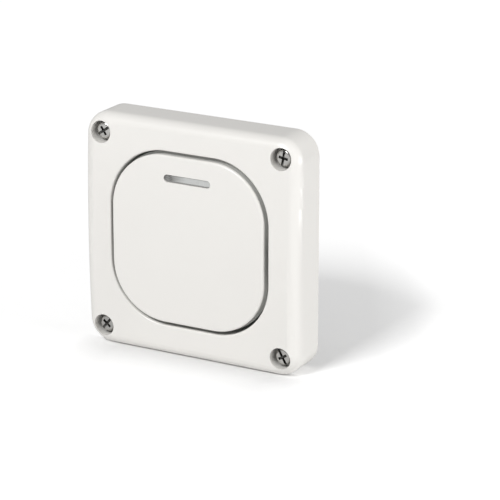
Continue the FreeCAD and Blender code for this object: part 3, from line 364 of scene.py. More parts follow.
@dataclass(frozen=True)
class RecessFinish(Finish):
    """Polished metal with painted shade that darkens it into the recess of its heads.

    Attributes:
        face: Y of the heads' faces.
        shank: Y from which the shank is clean again.
        recess_shade: Share of painted shade at growing shares of the way from the face to the
            shank.
        dark: Colour of the painted shade where it is darkest.
    """

    face: float = -0.0124
    shank: float = -0.0095
    recess_shade: Knots = ((0.0, 0.0), (0.04, 0.0), (0.1, 0.45), (0.3, 0.9), (0.75, 1.0), (1.0, 0.0))
    dark: Colour = (0.045, 0.045, 0.043)

    def _colour(self, graph: NodeGraph) -> Socket:
        """Paints shade over the drifting colour, darker with depth.

        Args:
            graph: The material's nodes.

        Returns:
            The colour.
        """
        depth = graph.spread(graph.axes()["Y"], self.face, self.shank)
        # Painted shade, darker with depth into the recesses.
        painted_shade = graph.curve(depth, self.recess_shade)
        return graph.mix(super()._colour(graph), self.dark, painted_shade)


@dataclass(frozen=True)
class LensFinish(Finish):
    """Translucent lens with painted shade, darker at the end where nothing stands behind it.

    Attributes:
        dark: Colour of the painted shade at the dark end.
        middle: Colour between the two, and of the painted shade on the lower rim.
        half_width: Half the lens's width.
        streaks: How far fine lengthwise streaks move the painted shade along the lens.
        streak_scale: Streaks per metre.
        dark_to: Shade up to which the end is dark.
        crescent: Shades of the near side, middle and far side of the painted dark crescent.
        clear_from: Shade from which the lens has its full colour.
        rim_level: Level of the painted shade on the lower rim.
        rim_fade: Height over which the rim's painted shade fades.
    """

    dark: Colour = (0.1, 0.1, 0.1)
    middle: Colour = (0.25, 0.25, 0.25)
    half_width: float = 0.0089
    streaks: float = 0.3
    streak_scale: float = 2600.0
    dark_to: float = 0.14
    crescent: tuple[float, float, float] = (0.22, 0.27, 0.33)
    clear_from: float = 0.62
    rim_level: float = 0.0213
    rim_fade: float = 0.0003

    def _colour(self, graph: NodeGraph) -> Socket:
        """Paints shade along X, breaks it up with streaks and paints shade on the lower rim.

        Args:
            graph: The material's nodes.

        Returns:
            The colour.
        """
        axes = graph.axes()
        along = graph.spread(axes["X"], -self.half_width, self.half_width)
        streak = graph.noise(self.streak_scale, 2, (0.09, 0.3, 1))
        first, ridge, second = self.crescent
        # Painted shade along the lens: the dark end, the dark crescent, then the full colour.
        body = graph.ramp(
            graph.math("MULTIPLY_ADD", streak, self.streaks, along),
            ((self.dark_to, self.dark), (first, self.middle), (ridge, self.dark),
             (second, self.middle), (self.clear_from, self.colour)),
        )
        # Painted shade on the lower rim.
        low = graph.spread(axes["Z"], self.rim_level + self.rim_fade, self.rim_level)
        return graph.mix(body, self.middle, low)


WHITE = srgb(236, 234, 230)
FINISHES = {
    "cover_plate": Finish(
        "cover_moulding", WHITE, 0.32, variation=0.008, grain_depth=0.03, rough_drift=0.01
    ),
    "rocker_key": Finish(
        "key_moulding", WHITE, 0.288, variation=0.008, grain_depth=0.02, rough_drift=0.01
    ),
    # The cover screws carry painted shade in their recesses.
    "cover_screws": RecessFinish(
        "polished_steel", (0.62, 0.61, 0.59), 0.12, 1.0, 0.5, Grain.TURNED, 1500.0, 1.0, 0.06
    ),
    "screw_seals": Finish("seal_elastomer", (0.05, 0.05, 0.048), 0.65, grain_depth=0.2),
    "rear_gasket": Finish("gasket_elastomer", (0.02, 0.02, 0.02), 0.7, grain_depth=0.25),
    "key_seal_ring": Finish("wiper_elastomer", (0.6, 0.6, 0.58), 0.5, grain_depth=0.15),
    "sealing_membrane": Finish("membrane_elastomer", (0.42, 0.42, 0.405), 0.55, grain_depth=0.15),
    # The lens's dark end, dark crescent and lower rim are painted shade.
    "indicator_lens": LensFinish(
        "ribbed_lens", (0.6, 0.61, 0.6), 0.2, grain_depth=0.1, transmission=0.12,
        dark=(0.13, 0.13, 0.125), middle=(0.3, 0.3, 0.29)
    ),
    "light_guide": Finish("clear_guide", (0.8, 0.82, 0.82), 0.1, transmission=0.9),
    "lamp_window": Finish("clear_window", (0.8, 0.82, 0.82), 0.12, transmission=0.85),
    "indicator_lamp": Finish("lamp_glass", (0.85, 0.8, 0.74), 0.05, transmission=0.8),
    "lamp_holder": Finish("holder_moulding", (0.62, 0.6, 0.56), 0.5),
    "lamp_leads": Finish(
        "tinned_wire", (0.66, 0.63, 0.58), 0.32, 1.0, 0.1, Grain.BRUSHED, 4000.0, 0.2
    ),
    "clamp_frame": Finish("frame_moulding", (0.22, 0.23, 0.24), 0.48, grain_depth=0.12),
    "mechanism_lid": Finish("lid_moulding", (0.5, 0.49, 0.45), 0.42, grain_depth=0.1),
    "mechanism_base": Finish("base_moulding", (0.46, 0.45, 0.41), 0.45, grain_depth=0.12),
    "actuator_dolly": Finish("dolly_moulding", (0.7, 0.7, 0.68), 0.4),
    "plunger": Finish("plunger_moulding", (0.05, 0.05, 0.05), 0.35),
    "pivot_pins": Finish(
        "ground_steel", (0.6, 0.6, 0.59), 0.25, 1.0, 0.1, Grain.BRUSHED, 5000.0, 0.2
    ),
    "frame_screws": Finish(
        "zinc_steel", (0.52, 0.53, 0.52), 0.33, 1.0, 0.2, Grain.TURNED, 1500.0, 0.3
    ),
    "plunger_spring": Finish(
        "spring_steel", (0.4, 0.4, 0.4), 0.3, 1.0, 0.1, Grain.BRUSHED, 5000.0, 0.2
    ),
    "seesaw_contact": Finish(
        "copper_strip", (0.62, 0.34, 0.2), 0.3, 1.0, 0.2, Grain.BRUSHED, 3000.0, 0.25
    ),
    "moving_contact_tips": Finish("silver_tips", (0.75, 0.74, 0.71), 0.25, 1.0, 0.1),
    "common_terminal": Finish(
        "terminal_brass", (0.66, 0.48, 0.2), 0.3, 1.0, 0.15, Grain.BRUSHED, 3000.0, 0.25
    ),
}
SHARED_FINISHES = {
    "mechanism_screws": "frame_screws",
    "terminal_screws": "frame_screws",
    "way_one_terminal": "common_terminal",
    "way_two_terminal": "common_terminal",
    "fixed_contact_tips": "moving_contact_tips",
}


class FinishShop:
    """Builds each finish once and puts it on pieces."""

    def __init__(self) -> None:
        """Starts with no material built."""
        self._built: dict[str, bpy.types.Material] = {}

    def material(self, node: str) -> bpy.types.Material:
        """Finds or builds a node's material.

        Args:
            node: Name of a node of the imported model.

        Returns:
            Its material.
        """
        key = SHARED_FINISHES.get(node, node)
        if key not in self._built:
            self._built[key] = FINISHES[key].build()
        return self._built[key]

    def dress(self, piece: bpy.types.Object, node: str) -> None:
        """Gives a piece one finish in every slot.

        Args:
            piece: The object.
            node: Node whose finish it takes.
        """
        material = self.material(node)
        if not piece.material_slots:
            piece.data.materials.append(material)
        for slot in piece.material_slots:
            slot.material = material

    def fit(self, piece: bpy.types.Object, node: str, body: str | None) -> None:
        """Lets a piece stand for a node, with its body and its finish.

        Args:
            piece: The new piece.
            node: Node that it stands for.
            body: Body that it rides on, or None to leave it on no body.
        """
        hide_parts(node)
        if body is not None:
            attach(piece, body)
        self.dress(piece, node)
        LOG.info("piece %s for %s, %d faces", piece.name, node, len(piece.data.polygons))


@dataclass(frozen=True)
class Skin:
    """A closed surface as arrays, before it becomes a mesh.

    Attributes:
        points: Points in metres, one row each.
        quads: Point numbers of the four-sided faces.
        triangles: Point numbers of the three-sided faces.
    """

    points: np.ndarray
    quads: np.ndarray
    triangles: np.ndarray

    @staticmethod
    def bands(rows: int, columns: int, rows_close: bool, columns_close: bool) -> np.ndarray:
        """Lists the faces between neighbouring points of a grid.

        Point (i, j) has the number i times columns plus j. Each face joins (i, j), (i, j+1),
        (i+1, j+1) and (i+1, j), and a closed direction joins its last line to its first.

        Args:
            rows: Lines of points.
            columns: Points in each line.
            rows_close: Whether the last line meets the first.
            columns_close: Whether the last point of a line meets its first.

        Returns:
            Four point numbers per face.
        """
        i = np.arange(rows if rows_close else rows - 1)[:, None]
        j = np.arange(columns if columns_close else columns - 1)[None, :]
        below = (i + 1) % rows
        beside = (j + 1) % columns
        corners = (
            i * columns + j,
            i * columns + beside,
            below * columns + beside,
            below * columns + j,
        )
        return np.stack(np.broadcast_arrays(*corners), -1).reshape(-1, 4)

    @classmethod
    def ring(cls, grid: np.ndarray) -> "Skin":
        """Closes a grid in both directions, as for a seal.

        Args:
            grid: Points, lines by columns by 3.

        Returns:
            The skin, with its faces outwards.
        """
        rows, columns = grid.shape[:2]
        quads = cls.bands(rows, columns, True, True)
        return cls(grid.reshape(-1, 3), quads, np.zeros((0, 3), int)).outward()

    @classmethod
    def column(cls, top: np.ndarray, loops: np.ndarray, tip: np.ndarray) -> "Skin":
        """Closes a shape that has a grid at one end and a point at the other.

        The grid's border runs once round. The first loop joins it, each loop joins the next,
        and the last one is closed by a fan of triangles to the tip.

        Args:
            top: Grid of points, lines by columns by 3.
            loops: Loops of points, as many in each as the border has.
            tip: The point that the last loop closes on.

        Returns:
            The skin, with its faces outwards.
        """
        rows, columns = top.shape[:2]
        edge = cls.border(rows, columns)
        first = rows * columns
        count = len(edge)
        last = first + (len(loops) - 1) * count
        around = np.arange(count)
        after = (around + 1) % count
        seam = np.stack((edge, edge[after], first + after, first + around), -1)
        sides = first + cls.bands(len(loops), count, False, True)
        points = np.concatenate((top.reshape(-1, 3), loops.reshape(-1, 3), tip[None, :]))
        fan = np.stack((last + around, last + after, np.full(count, len(points) - 1)), -1)
        quads = np.concatenate((cls.bands(rows, columns, False, False)[:, ::-1], seam, sides))
        return cls(points, quads, fan).outward()

    @classmethod
    def tube(cls, rings: np.ndarray, start: np.ndarray, end: np.ndarray) -> "Skin":
        """Closes a stack of rings with a fan of triangles at each end.

        Args:
            rings: Points, rings by points by 3.
            start: Middle of the first ring.
            end: Middle of the last ring.

        Returns:
            The skin, with its faces outwards.
        """
        rows, columns = rings.shape[:2]
        around = np.arange(columns)
        after = (around + 1) % columns
        last = (rows - 1) * columns
        total = rows * columns
        first_fan = np.stack((after, around, np.full(columns, total)), -1)
        last_fan = np.stack((last + around, last + after, np.full(columns, total + 1)), -1)
        points = np.concatenate((rings.reshape(-1, 3), start[None, :], end[None, :]))
        quads = cls.bands(rows, columns, False, True)
        return cls(points, quads, np.concatenate((first_fan, last_fan))).outward()

    @staticmethod
    def border(rows: int, columns: int) -> np.ndarray:
        """Lists the numbers of a grid's border points, once round.

        Args:
            rows: Lines of points.
            columns: Points in each line.

        Returns:
            The point numbers, from the first line's start along it.
        """
        grid = np.arange(rows * columns).reshape(rows, columns)
        return np.concatenate((grid[0, :-1], grid[:-1, -1], grid[-1, :0:-1], grid[:0:-1, 0]))

    def outward(self) -> "Skin":
        """Turns all the faces round where the enclosed volume comes out negative.

        The volume is a sixth of the sum, over triangles a, b, c, of a · (b × c).

        Returns:
            The skin with its faces outwards.
        """
        halves = (self.quads[:, :3], self.quads[:, [0, 2, 3]], self.triangles)
        corners = self.points[np.concatenate(halves)]
        volume = np.einsum(
            "ij,ij->", corners[:, 0], np.cross(corners[:, 1], corners[:, 2])
        )
        if volume >= 0:
            return self
        return Skin(self.points, self.quads[:, ::-1], self.triangles[:, ::-1])

    def placed(self, origin: Sequence[float], axes: np.ndarray) -> "Skin":
        """Moves the skin into the frame of the model.

        Args:
            origin: Place of the skin's own origin.
            axes: The skin's own X, Y and Z directions, one row each, right-handed.

        Returns:
            The moved skin.
        """
        moved = self.points @ np.asarray(axes, float) + np.asarray(origin, float)
        return Skin(moved, self.quads, self.triangles)


def full_turn(points: int) -> np.ndarray:
    """Spreads the angles of some points evenly over a full turn, in radians."""
    return np.linspace(0, 2 * math.pi, points, endpoint=False)


class Crease(Enum):
    """Angle in degrees from which an edge of a piece stays sharp."""

    SHEET = 30.0
    METAL = 38.0
    LENS = 50.0
    SEAL = 60.0


def link_smooth(mesh: bpy.types.Mesh, crease: Crease) -> bpy.types.Object:
    """Smooths a mesh but for its creases and links it under its own name.

    Args:
        mesh: The mesh.
        crease: Edges that stay sharp.

    Returns:
        The linked object, at the origin.
    """
    mesh.shade_smooth()
    mesh.set_sharp_from_angle(angle=math.radians(crease.value))
    mesh.update()
    piece = bpy.data.objects.new(mesh.name, mesh)
    bpy.context.scene.collection.objects.link(piece)
    return piece


def make_piece(name: str, skins: Sequence[Skin], crease: Crease) -> bpy.types.Object:
    """Puts closed skins into one mesh.

    Args:
        name: Name of the piece.
        skins: Its surfaces.
        crease: Edges that stay sharp.

    Returns:
        The linked object.
    """
    starts = np.cumsum([0] + [len(skin.points) for skin in skins[:-1]])
    faces: list[list[int]] = []
    for start, skin in zip(starts, skins):
        faces += (skin.quads + start).tolist() + (skin.triangles + start).tolist()
    mesh = bpy.data.meshes.new(name)
    mesh.from_pydata(np.concatenate([skin.points for skin in skins]).tolist(), [], faces)
    return link_smooth(mesh, crease)


@dataclass(frozen=True)
class ScrewForm:
    """Sizes of one kind of screw in millimetres, with depths counted from the head's seat.

    Attributes:
        head_radius: Radius of the head.
        head_height: Height of the head.
        edge_round: Radius of the round on the head's edge.
        slot_half: Half the slot's width.
        slot_depth: Depth of the slot.
        core_radius: Radius of the shank and of the thread's root.
        thread_radius: Radius of the thread's crest.
        pitch: Advance of the thread in one turn.
        thread_from: Depth at which the thread begins.
        length: Depth of the tip.
        end_round: Chamfer at the tip.
        cross_reach: Reach of the cross recess from the middle, or 0 for a plain slot.
        cross_depth: Depth of the cross recess.
    """

    head_radius: float
    head_height: float
    edge_round: float
    slot_half: float
    slot_depth: float
    core_radius: float
    thread_radius: float
    pitch: float
    thread_from: float
    length: float
    end_round: float
    cross_reach: float = 0.0
    cross_depth: float = 0.0


@dataclass(frozen=True)
class Screw:
    """A screw as one closed surface: recessed head, plain shank, helical thread and tip.

    The sizes that all screws share are in millimetres.

    Attributes:
        form: Sizes of this kind of screw.
        wall: Half the width of a recess wall's slope.
        pole: Angle in degrees at which the grid's outermost line crosses the head's rim.
        open_points: Grid lines from one recess wall to the next.
        wall_points: Grid lines over a wall.
        outer_steps: Grid lines from the recess to the rim.
        turn_rows: Loops in each turn of the thread.
        chord_share: Share of a short line that the recess walls may take up.
        dome: Rise of the head's middle over its rim.
        taper: Share of its depth that the cross loses towards its ends.
        bevel: Chamfer of the head's lower edge.
        neck: Radius over the core and level of the loops under the head.
        crest: Steepness of the thread's flanks, and how far they are cut at the root.
        tip_shares: Shares of the tip's chamfer at which it has a loop.
    """

    form: ScrewForm
    wall: float = 0.05
    pole: float = 86.0
    open_points: int = 5
    wall_points: int = 4
    outer_steps: int = 8
    turn_rows: int = 6
    chord_share: float = 0.85
    dome: float = 0.04
    taper: float = 0.35
    bevel: float = 0.06
    neck: Knots = ((0.12, 0.0), (0.02, -0.1), (0.0, -0.25))
    crest: tuple[float, float] = (1.7, 0.35)
    tip_shares: tuple[float, ...] = (0.1, 0.6, 1.0)

    def skin(self) -> Skin:
        """Builds the screw with its seat at z = 0, its slot along X and its head towards +Z.

        Returns:
            The closed skin, in metres.
        """
        x, y = self._plan()
        top = np.stack((x, y, self._face(x, y)), -1)
        edge = Skin.border(*x.shape)
        loop = top.reshape(-1, 3)[edge, :2] / self.form.head_radius
        tip = np.array((0.0, 0.0, -self.form.length))
        return Skin.column(top * MM, self._loops(loop) * MM, tip * MM)

    def _stations(self) -> tuple[np.ndarray, np.ndarray]:
        """Spaces the grid's lines over half a width, densest at the recess walls.

        Returns:
            The lines up to the recess, both signs, and the shares of the rest of the way.
        """
        form = self.form
        walls = [form.slot_half] + ([form.cross_reach] if form.cross_reach else [])
        knots = [np.zeros(1)]
        start = 0.0
        for wall in walls:
            near, far = wall - self.wall, wall + self.wall
            knots.append(np.linspace(start, near, self.open_points)[1:])
            knots.append(np.linspace(near, far, self.wall_points)[1:])
            start = far
        inner = np.concatenate(knots)
        outer = np.sin(np.linspace(0, math.pi / 2, self.outer_steps + 1)[1:])
        return np.concatenate((-inner[:0:-1], inner)), outer

    def _plan(self) -> tuple[np.ndarray, np.ndarray]:
        """Spreads a grid over the head's disc.

        A line at height y runs between the circle's two points at that height, so its half
        length is the square root of R² minus y². Its inner points keep to the recess walls,
        drawn together where the line is short, and the others crowd towards the rim as the
        sine of an evenly spaced angle.

        Returns:
            X and Y of the grid, in millimetres.
        """
        radius = self.form.head_radius
        inner, outer = self._stations()
        reach = inner[-1]
        pole = radius * math.sin(math.radians(self.pole))
        rise = reach + (pole - reach) * outer
        lines = np.concatenate((-rise[::-1], inner, rise))[:, None]
        chord = np.sqrt(radius**2 - lines**2)
        share = np.minimum(1.0, self.chord_share * chord / reach)
        middle = share * inner[None, :]
        beyond = share * reach + (chord - share * reach) * outer[None, :]
        x = np.concatenate((-beyond[:, ::-1], middle, beyond), 1)
        return x, np.broadcast_to(lines, x.shape)

    def _face(self, x: np.ndarray, y: np.ndarray) -> np.ndarray:
        """Gives the height of the head's face over its seat.

        Away from the recess the face is H minus a shallow dome and minus, inside the last E of
        the radius, the drop of a quarter circle of radius E. The recess is the lower of that
        and H minus the slot's or the cross's depth, each faded by a smooth step at its walls.

        Args:
            x: Distances along the slot.
            y: Distances across it.

        Returns:
            The heights in millimetres.
        """
        form = self.form
        away = np.hypot(x, y)
        over = np.clip(away - (form.head_radius - form.edge_round), 0, form.edge_round)
        drop = form.edge_round - np.sqrt(form.edge_round**2 - over**2)
        dome = form.head_height - self.dome * (away / form.head_radius) ** 2 - drop
        depth = form.slot_depth * self._inside(y, form.slot_half)
        if form.cross_reach:
            arms = np.maximum(
                self._inside(y, form.slot_half) * self._inside(x, form.cross_reach),
                self._inside(x, form.slot_half) * self._inside(y, form.cross_reach),
            )
            far = np.clip(np.maximum(abs(x), abs(y)) / form.cross_reach, 0, 1)
            depth = np.maximum(depth, form.cross_depth * (1 - self.taper * far) * arms)
        return np.minimum(dome, form.head_height - depth)

    def _inside(self, value: np.ndarray, half: float) -> np.ndarray:
        """Smooth step that is 1 within half of 0 and 0 beyond, over the width of a wall."""
        share = np.clip((half + self.wall - abs(value)) / (2 * self.wall), 0, 1)
        return share * share * (3 - 2 * share)

    def _loops(self, loop: np.ndarray) -> np.ndarray:
        """Carries the head's border down the shank.

        A loop at depth d is the unit loop times the radius there. On the thread the radius is
        the root's plus the thread's depth times a clipped triangle wave of d over the pitch
        plus the angle over a full turn, so the crest climbs one pitch in each turn.

        Args:
            loop: The border's X and Y, as shares of the head's radius.

        Returns:
            Loops by points by 3, in millimetres.
        """
        form = self.form
        angle = np.arctan2(loop[:, 1], loop[:, 0]) / (2 * math.pi)
        plain = [(form.head_radius, self.bevel), (form.head_radius - self.bevel, 0.0)]
        plain += [(form.core_radius + over, level) for over, level in self.neck]
        end = form.length - form.end_round
        turns = (end - form.thread_from) / form.pitch
        depth = np.linspace(form.thread_from, end, int(turns * self.turn_rows) + 1)[:, None]
        wave = 1 - abs(2 * ((-depth / form.pitch - angle[None, :]) % 1) - 1)
        steep, cut = self.crest
        crest = np.clip(steep * wave - cut, 0, 1)
        fade = np.clip((depth - form.thread_from) / form.pitch, 0, 1)
        radius = form.core_radius + (form.thread_radius - form.core_radius) * crest * fade
        tip = [
            (form.core_radius - form.end_round * share, form.end_round * (1 - share) - form.length)
            for share in self.tip_shares
        ]
        rings = plain + list(zip(radius[:, :, None], -depth[:, 0])) + tip
        flat = np.ones(len(loop))
        return np.array([np.column_stack((loop * wide, flat * level)) for wide, level in rings])


@dataclass(frozen=True)
class ScrewSet:
    """A set of equal screws that stands for one node.

    Attributes:
        name: Name of the piece.
        node: Node that it stands for.
        slot: Material slot that its finish comes from; not used.
        form: Sizes of the screw.
        seats: Centres of the heads' seats, in millimetres.
        axes: Direction that each head points to.
        across: Direction of each slot.
    """

    name: str
    node: str
    slot: str
    form: ScrewForm
    seats: tuple[Point, ...]
    axes: tuple[Point, ...]
    across: tuple[Point, ...]

    def build(self) -> bpy.types.Object:
        """Builds the set as one piece.

        Returns:
            The linked object.
        """
        own = Screw(self.form).skin()
        skins = []
        for seat, axis, across in zip(self.seats, self.axes, self.across):
            head, slot = np.array(axis, float), np.array(across, float)
            frame = np.array((slot, np.cross(head, slot), head))
            skins.append(own.placed(np.array(seat) * MM, frame))
        return make_piece(self.name, skins, Crease.METAL)


def four_corners(x: float, y: float, top: float, bottom: float) -> tuple[Point, ...]:
    """Places at upper left, upper right, lower left and lower right.

    Args:
        x: Distance to each side.
        y: Depth.
        top: Level of the upper two.
        bottom: Level of the lower two.

    Returns:
        The four points.
    """
    return tuple((side * x, y, level) for level in (top, bottom) for side in (-1, 1))


@dataclass(frozen=True)
class Fastenings:
    """All the screws of the switch, in millimetres and degrees.

    Places of four like screws are a distance to each side, a depth, an upper and a lower level.

    Attributes:
        front: Direction towards the user.
        rear: Direction towards the wall.
        fixing_turns: Turn of each cover screw's slot.
        fixing: Form of the cover screws.
        small: Form of the frame screws.
        short: Form of the mechanism screws.
        clamp: Form of the terminal screws.
        fixing_places: Places of the cover screws.
        frame_places: Places of the frame screws.
        lid_places: Places of the mechanism screws.
        middle_level: Level of the mechanism's middle.
        clamp_y: Depth of the terminal screws.
        clamp_top: Level of the upper terminal screw.
        clamp_side: Distance of the side terminal screw from the middle.
    """

    front: Point = (0.0, -1.0, 0.0)
    rear: Point = (0.0, 1.0, 0.0)
    fixing_turns: tuple[float, ...] = (35.0, 80.0, 50.0, 120.0)
    fixing: ScrewForm = ScrewForm(
        head_radius=3.0, head_height=2.1, edge_round=0.945, slot_half=0.4, slot_depth=0.735,
        core_radius=1.3, thread_radius=1.5, pitch=0.5, thread_from=10.3, length=16.3,
        end_round=0.4, cross_reach=1.65, cross_depth=1.26,
    )
    small: ScrewForm = ScrewForm(
        head_radius=1.8, head_height=1.4, edge_round=0.56, slot_half=0.25, slot_depth=0.56,
        core_radius=0.88, thread_radius=1.05, pitch=0.5, thread_from=0.8, length=6.5,
        end_round=0.25,
    )
    short: ScrewForm = replace(small, length=5.0)
    clamp: ScrewForm = ScrewForm(
        head_radius=1.9, head_height=1.5, edge_round=0.3, slot_half=0.3, slot_depth=0.75,
        core_radius=1.05, thread_radius=1.25, pitch=0.5, thread_from=0.4, length=1.9,
        end_round=0.2,
    )
    fixing_places: tuple[float, ...] = (FIXING_REACH, -10.3, FIXING_REACH, -FIXING_REACH)
    frame_places: tuple[float, ...] = (24.75, -2.9, 34.7, -34.7)
    lid_places: tuple[float, ...] = (21.5, 1.0, 18.7, -17.3)
    middle_level: float = 0.7
    clamp_y: float = 15.674
    clamp_top: float = 22.0
    clamp_side: float = 14.3

    def sets(self) -> tuple[ScrewSet, ...]:
        """Lists the sets of screws.

        Returns:
            Cover, frame, mechanism and terminal screws.
        """
        slots = tuple(
            (math.cos(math.radians(turn)), 0.0, math.sin(math.radians(turn)))
            for turn in self.fixing_turns
        )
        right, up, down = (1.0, 0.0, 0.0), (0.0, 0.0, 1.0), (0.0, 0.0, -1.0)
        middle, y, top = self.middle_level, self.clamp_y, self.clamp_top
        clamps = ((0, y, top), (0, y, 2 * middle - top), (self.clamp_side, y, middle))
        return (
            ScrewSet("turned_cover_screws", "cover_screws", "bright_steel", self.fixing,
                     four_corners(*self.fixing_places), (self.front,) * 4, slots),
            ScrewSet("turned_frame_screws", "frame_screws", "zinc_steel", self.small,
                     four_corners(*self.frame_places), (self.rear,) * 4, (right,) * 4),
            ScrewSet("turned_mechanism_screws", "mechanism_screws", "zinc_steel", self.short,
                     four_corners(*self.lid_places), (self.rear,) * 4, (right,) * 4),
            ScrewSet("turned_terminal_screws", "terminal_screws", "zinc_steel", self.clamp,
                     clamps, (up, down, right), (right, right, up)),
        )


@dataclass(frozen=True)
class IndicatorLens:
    """Slim translucent lens with rounded ends in the key's face, sized in millimetres.

    Attributes:
        level: Height of its middle.
        stem_half: Half the width and height of the part that shows.
        flange_half: Half the width and height of the flange behind.
        face_depth: Depth of the face's crown from the cover's back plane, at the middle.
        crown_centre: Distance of the crown's axis behind the back plane.
        flange_front: Plane of the flange's front.
        flange_back: Plane of the flange's back.
        rib_pitch: Distance between the fine ribs of the face.
        rib_depth: Depth of the ribs.
        rib_fade: Power of the place along a line that the ribs fade with at its ends.
        edge_round: Round of the face's edge.
        rows: Lines of points over the height.
        columns: Points in a line.
        pole: Angle of the outermost line, in radians.
    """

    level: float = 22.3
    stem_half: tuple[float, float] = (8.8, 1.175)
    flange_half: tuple[float, float] = (10.2, 2.575)
    face_depth: float = 15.85
    crown_centre: float = 585.86
    flange_front: float = -13.79
    flange_back: float = -12.79
    rib_pitch: float = 0.8
    rib_depth: float = 0.045
    rib_fade: int = 8
    edge_round: float = 0.12
    rows: int = 13
    columns: int = 221
    pole: float = 1.45

    def build(self) -> bpy.types.Object:
        """Builds the lens.

        The outline is a straight-sided slot with round ends: at height h its half length is
        the straight half plus the square root of the end radius squared minus h squared. The
        face follows the crown, y = C minus the square root of (C + depth)² minus z², and
        carries shallow ribs, rib_depth times a squared sine of x over the pitch.

        Returns:
            The linked object.
        """
        half_x, half_z = self.stem_half
        tall = half_z - self.edge_round
        lines = tall * np.sin(np.linspace(-self.pole, self.pole, self.rows))[:, None]
        straight = half_x - half_z
        chord = straight + np.sqrt(np.maximum(tall**2 - lines**2, 0))
        across = np.linspace(-1, 1, self.columns)[None, :]
        x = across * chord
        z = np.broadcast_to(lines, x.shape)
        rib = self.rib_depth * np.sin(math.pi * x / self.rib_pitch) ** 2
        rib = rib * (1 - (z / tall) ** 2) * (1 - across**self.rib_fade)
        top = np.stack((x, self._crown(z + self.level) + rib, z + self.level), -1)
        loop = np.stack((x, z), -1).reshape(-1, 2)[Skin.border(*x.shape)]
        steps = (
            (half_x, half_z, None),
            (half_x, half_z, self.flange_front),
            (*self.flange_half, self.flange_front),
            (*self.flange_half, self.flange_back),
        )
        loops = []
        for wide, high, plane in steps:
            aside = loop[:, 0] * wide / (straight + tall)
            up = loop[:, 1] * high / tall + self.level
            front = self._crown(up) + self.edge_round
            depth = front if plane is None else np.full(len(loop), plane)
            loops.append(np.stack((aside, depth, up), -1))
        tip = np.array((0.0, self.flange_back, self.level))
        skin = Skin.column(top * MM, np.array(loops) * MM, tip * MM)
        return make_piece("ribbed_indicator_lens", (skin,), Crease.LENS)

    def _crown(self, z: np.ndarray) -> np.ndarray:
        """Y of the crowned face at height z."""
        radius = self.crown_centre + self.face_depth
        return self.crown_centre - np.sqrt(radius**2 - z**2)


@dataclass(frozen=True)
class RearGasket:
    """Soft gasket round the cover's back edge, with two sealing beads, in millimetres.

    Attributes:
        outer_half: Half the outer width and height.
        corner: Outer corner radius.
        width: Width of the strip.
        front: Plane of its front.
        groove: Depth of the hollow between the beads.
        side_round: Bulge of its flanks.
        corner_points: Points round each corner.
        back_points: Points across the beaded back.
        front_step: Points of the back for each one of the plain front.
        flank_points: Points down a flank, with both of its edges.
    """

    outer_half: float = 39.9
    corner: float = 7.3
    width: float = 1.5
    front: float = -1.2
    groove: float = 0.28
    side_round: float = 0.18
    corner_points: int = 15
    back_points: int = 33
    front_step: int = 8
    flank_points: int = 9

    def build(self) -> bpy.types.Object:
        """Builds the gasket by carrying its section round the cover.

        A point of the section at inset d lies, at the angle a of the outline, at the corner's
        centre plus (corner radius minus d) times (cos a, sin a). Across the strip the back is
        minus the groove's depth times the squared cosine of a full turn, so two beads touch
        the wall, and the flanks bulge as a half sine.

        Returns:
            The linked object.
        """
        quarter = np.linspace(0, math.pi / 2, self.corner_points)
        turns = np.concatenate([quarter + k * math.pi / 2 for k in range(4)])
        signs = np.repeat(((1, 1), (-1, 1), (-1, -1), (1, -1)), len(quarter), 0)
        centres = signs * (self.outer_half - self.corner)
        section = self._section()
        reach = self.corner - section[None, :, 0] * self.width
        x = centres[:, None, 0] + reach * np.cos(turns)[:, None]
        z = centres[:, None, 1] + reach * np.sin(turns)[:, None]
        y = np.broadcast_to(section[None, :, 1], x.shape)
        skin = Skin.ring(np.stack((x, y, z), -1) * MM)
        return make_piece("beaded_rear_gasket", (skin,), Crease.SEAL)

    def _section(self) -> np.ndarray:
        """Lists the section's points, once round.

        Returns:
            The share of the strip's width and Y of each point.
        """
        share = np.linspace(0, 1, self.back_points)
        back = np.stack((share, -self.groove * np.cos(2 * math.pi * share) ** 2), -1)
        rise = np.linspace(0, 1, self.flank_points)[1:-1]
        span = -self.front - self.groove
        bulge = self.side_round / self.width * np.sin(math.pi * rise)
        inner = np.stack((1 - bulge, -self.groove - span * rise), -1)
        outer = np.stack((bulge, -self.groove - span * rise[::-1]), -1)
        plain = 1 - share[:: self.front_step]
        front = np.stack((plain, np.full_like(plain, self.front)), -1)
        return np.concatenate((back, inner, front, outer))


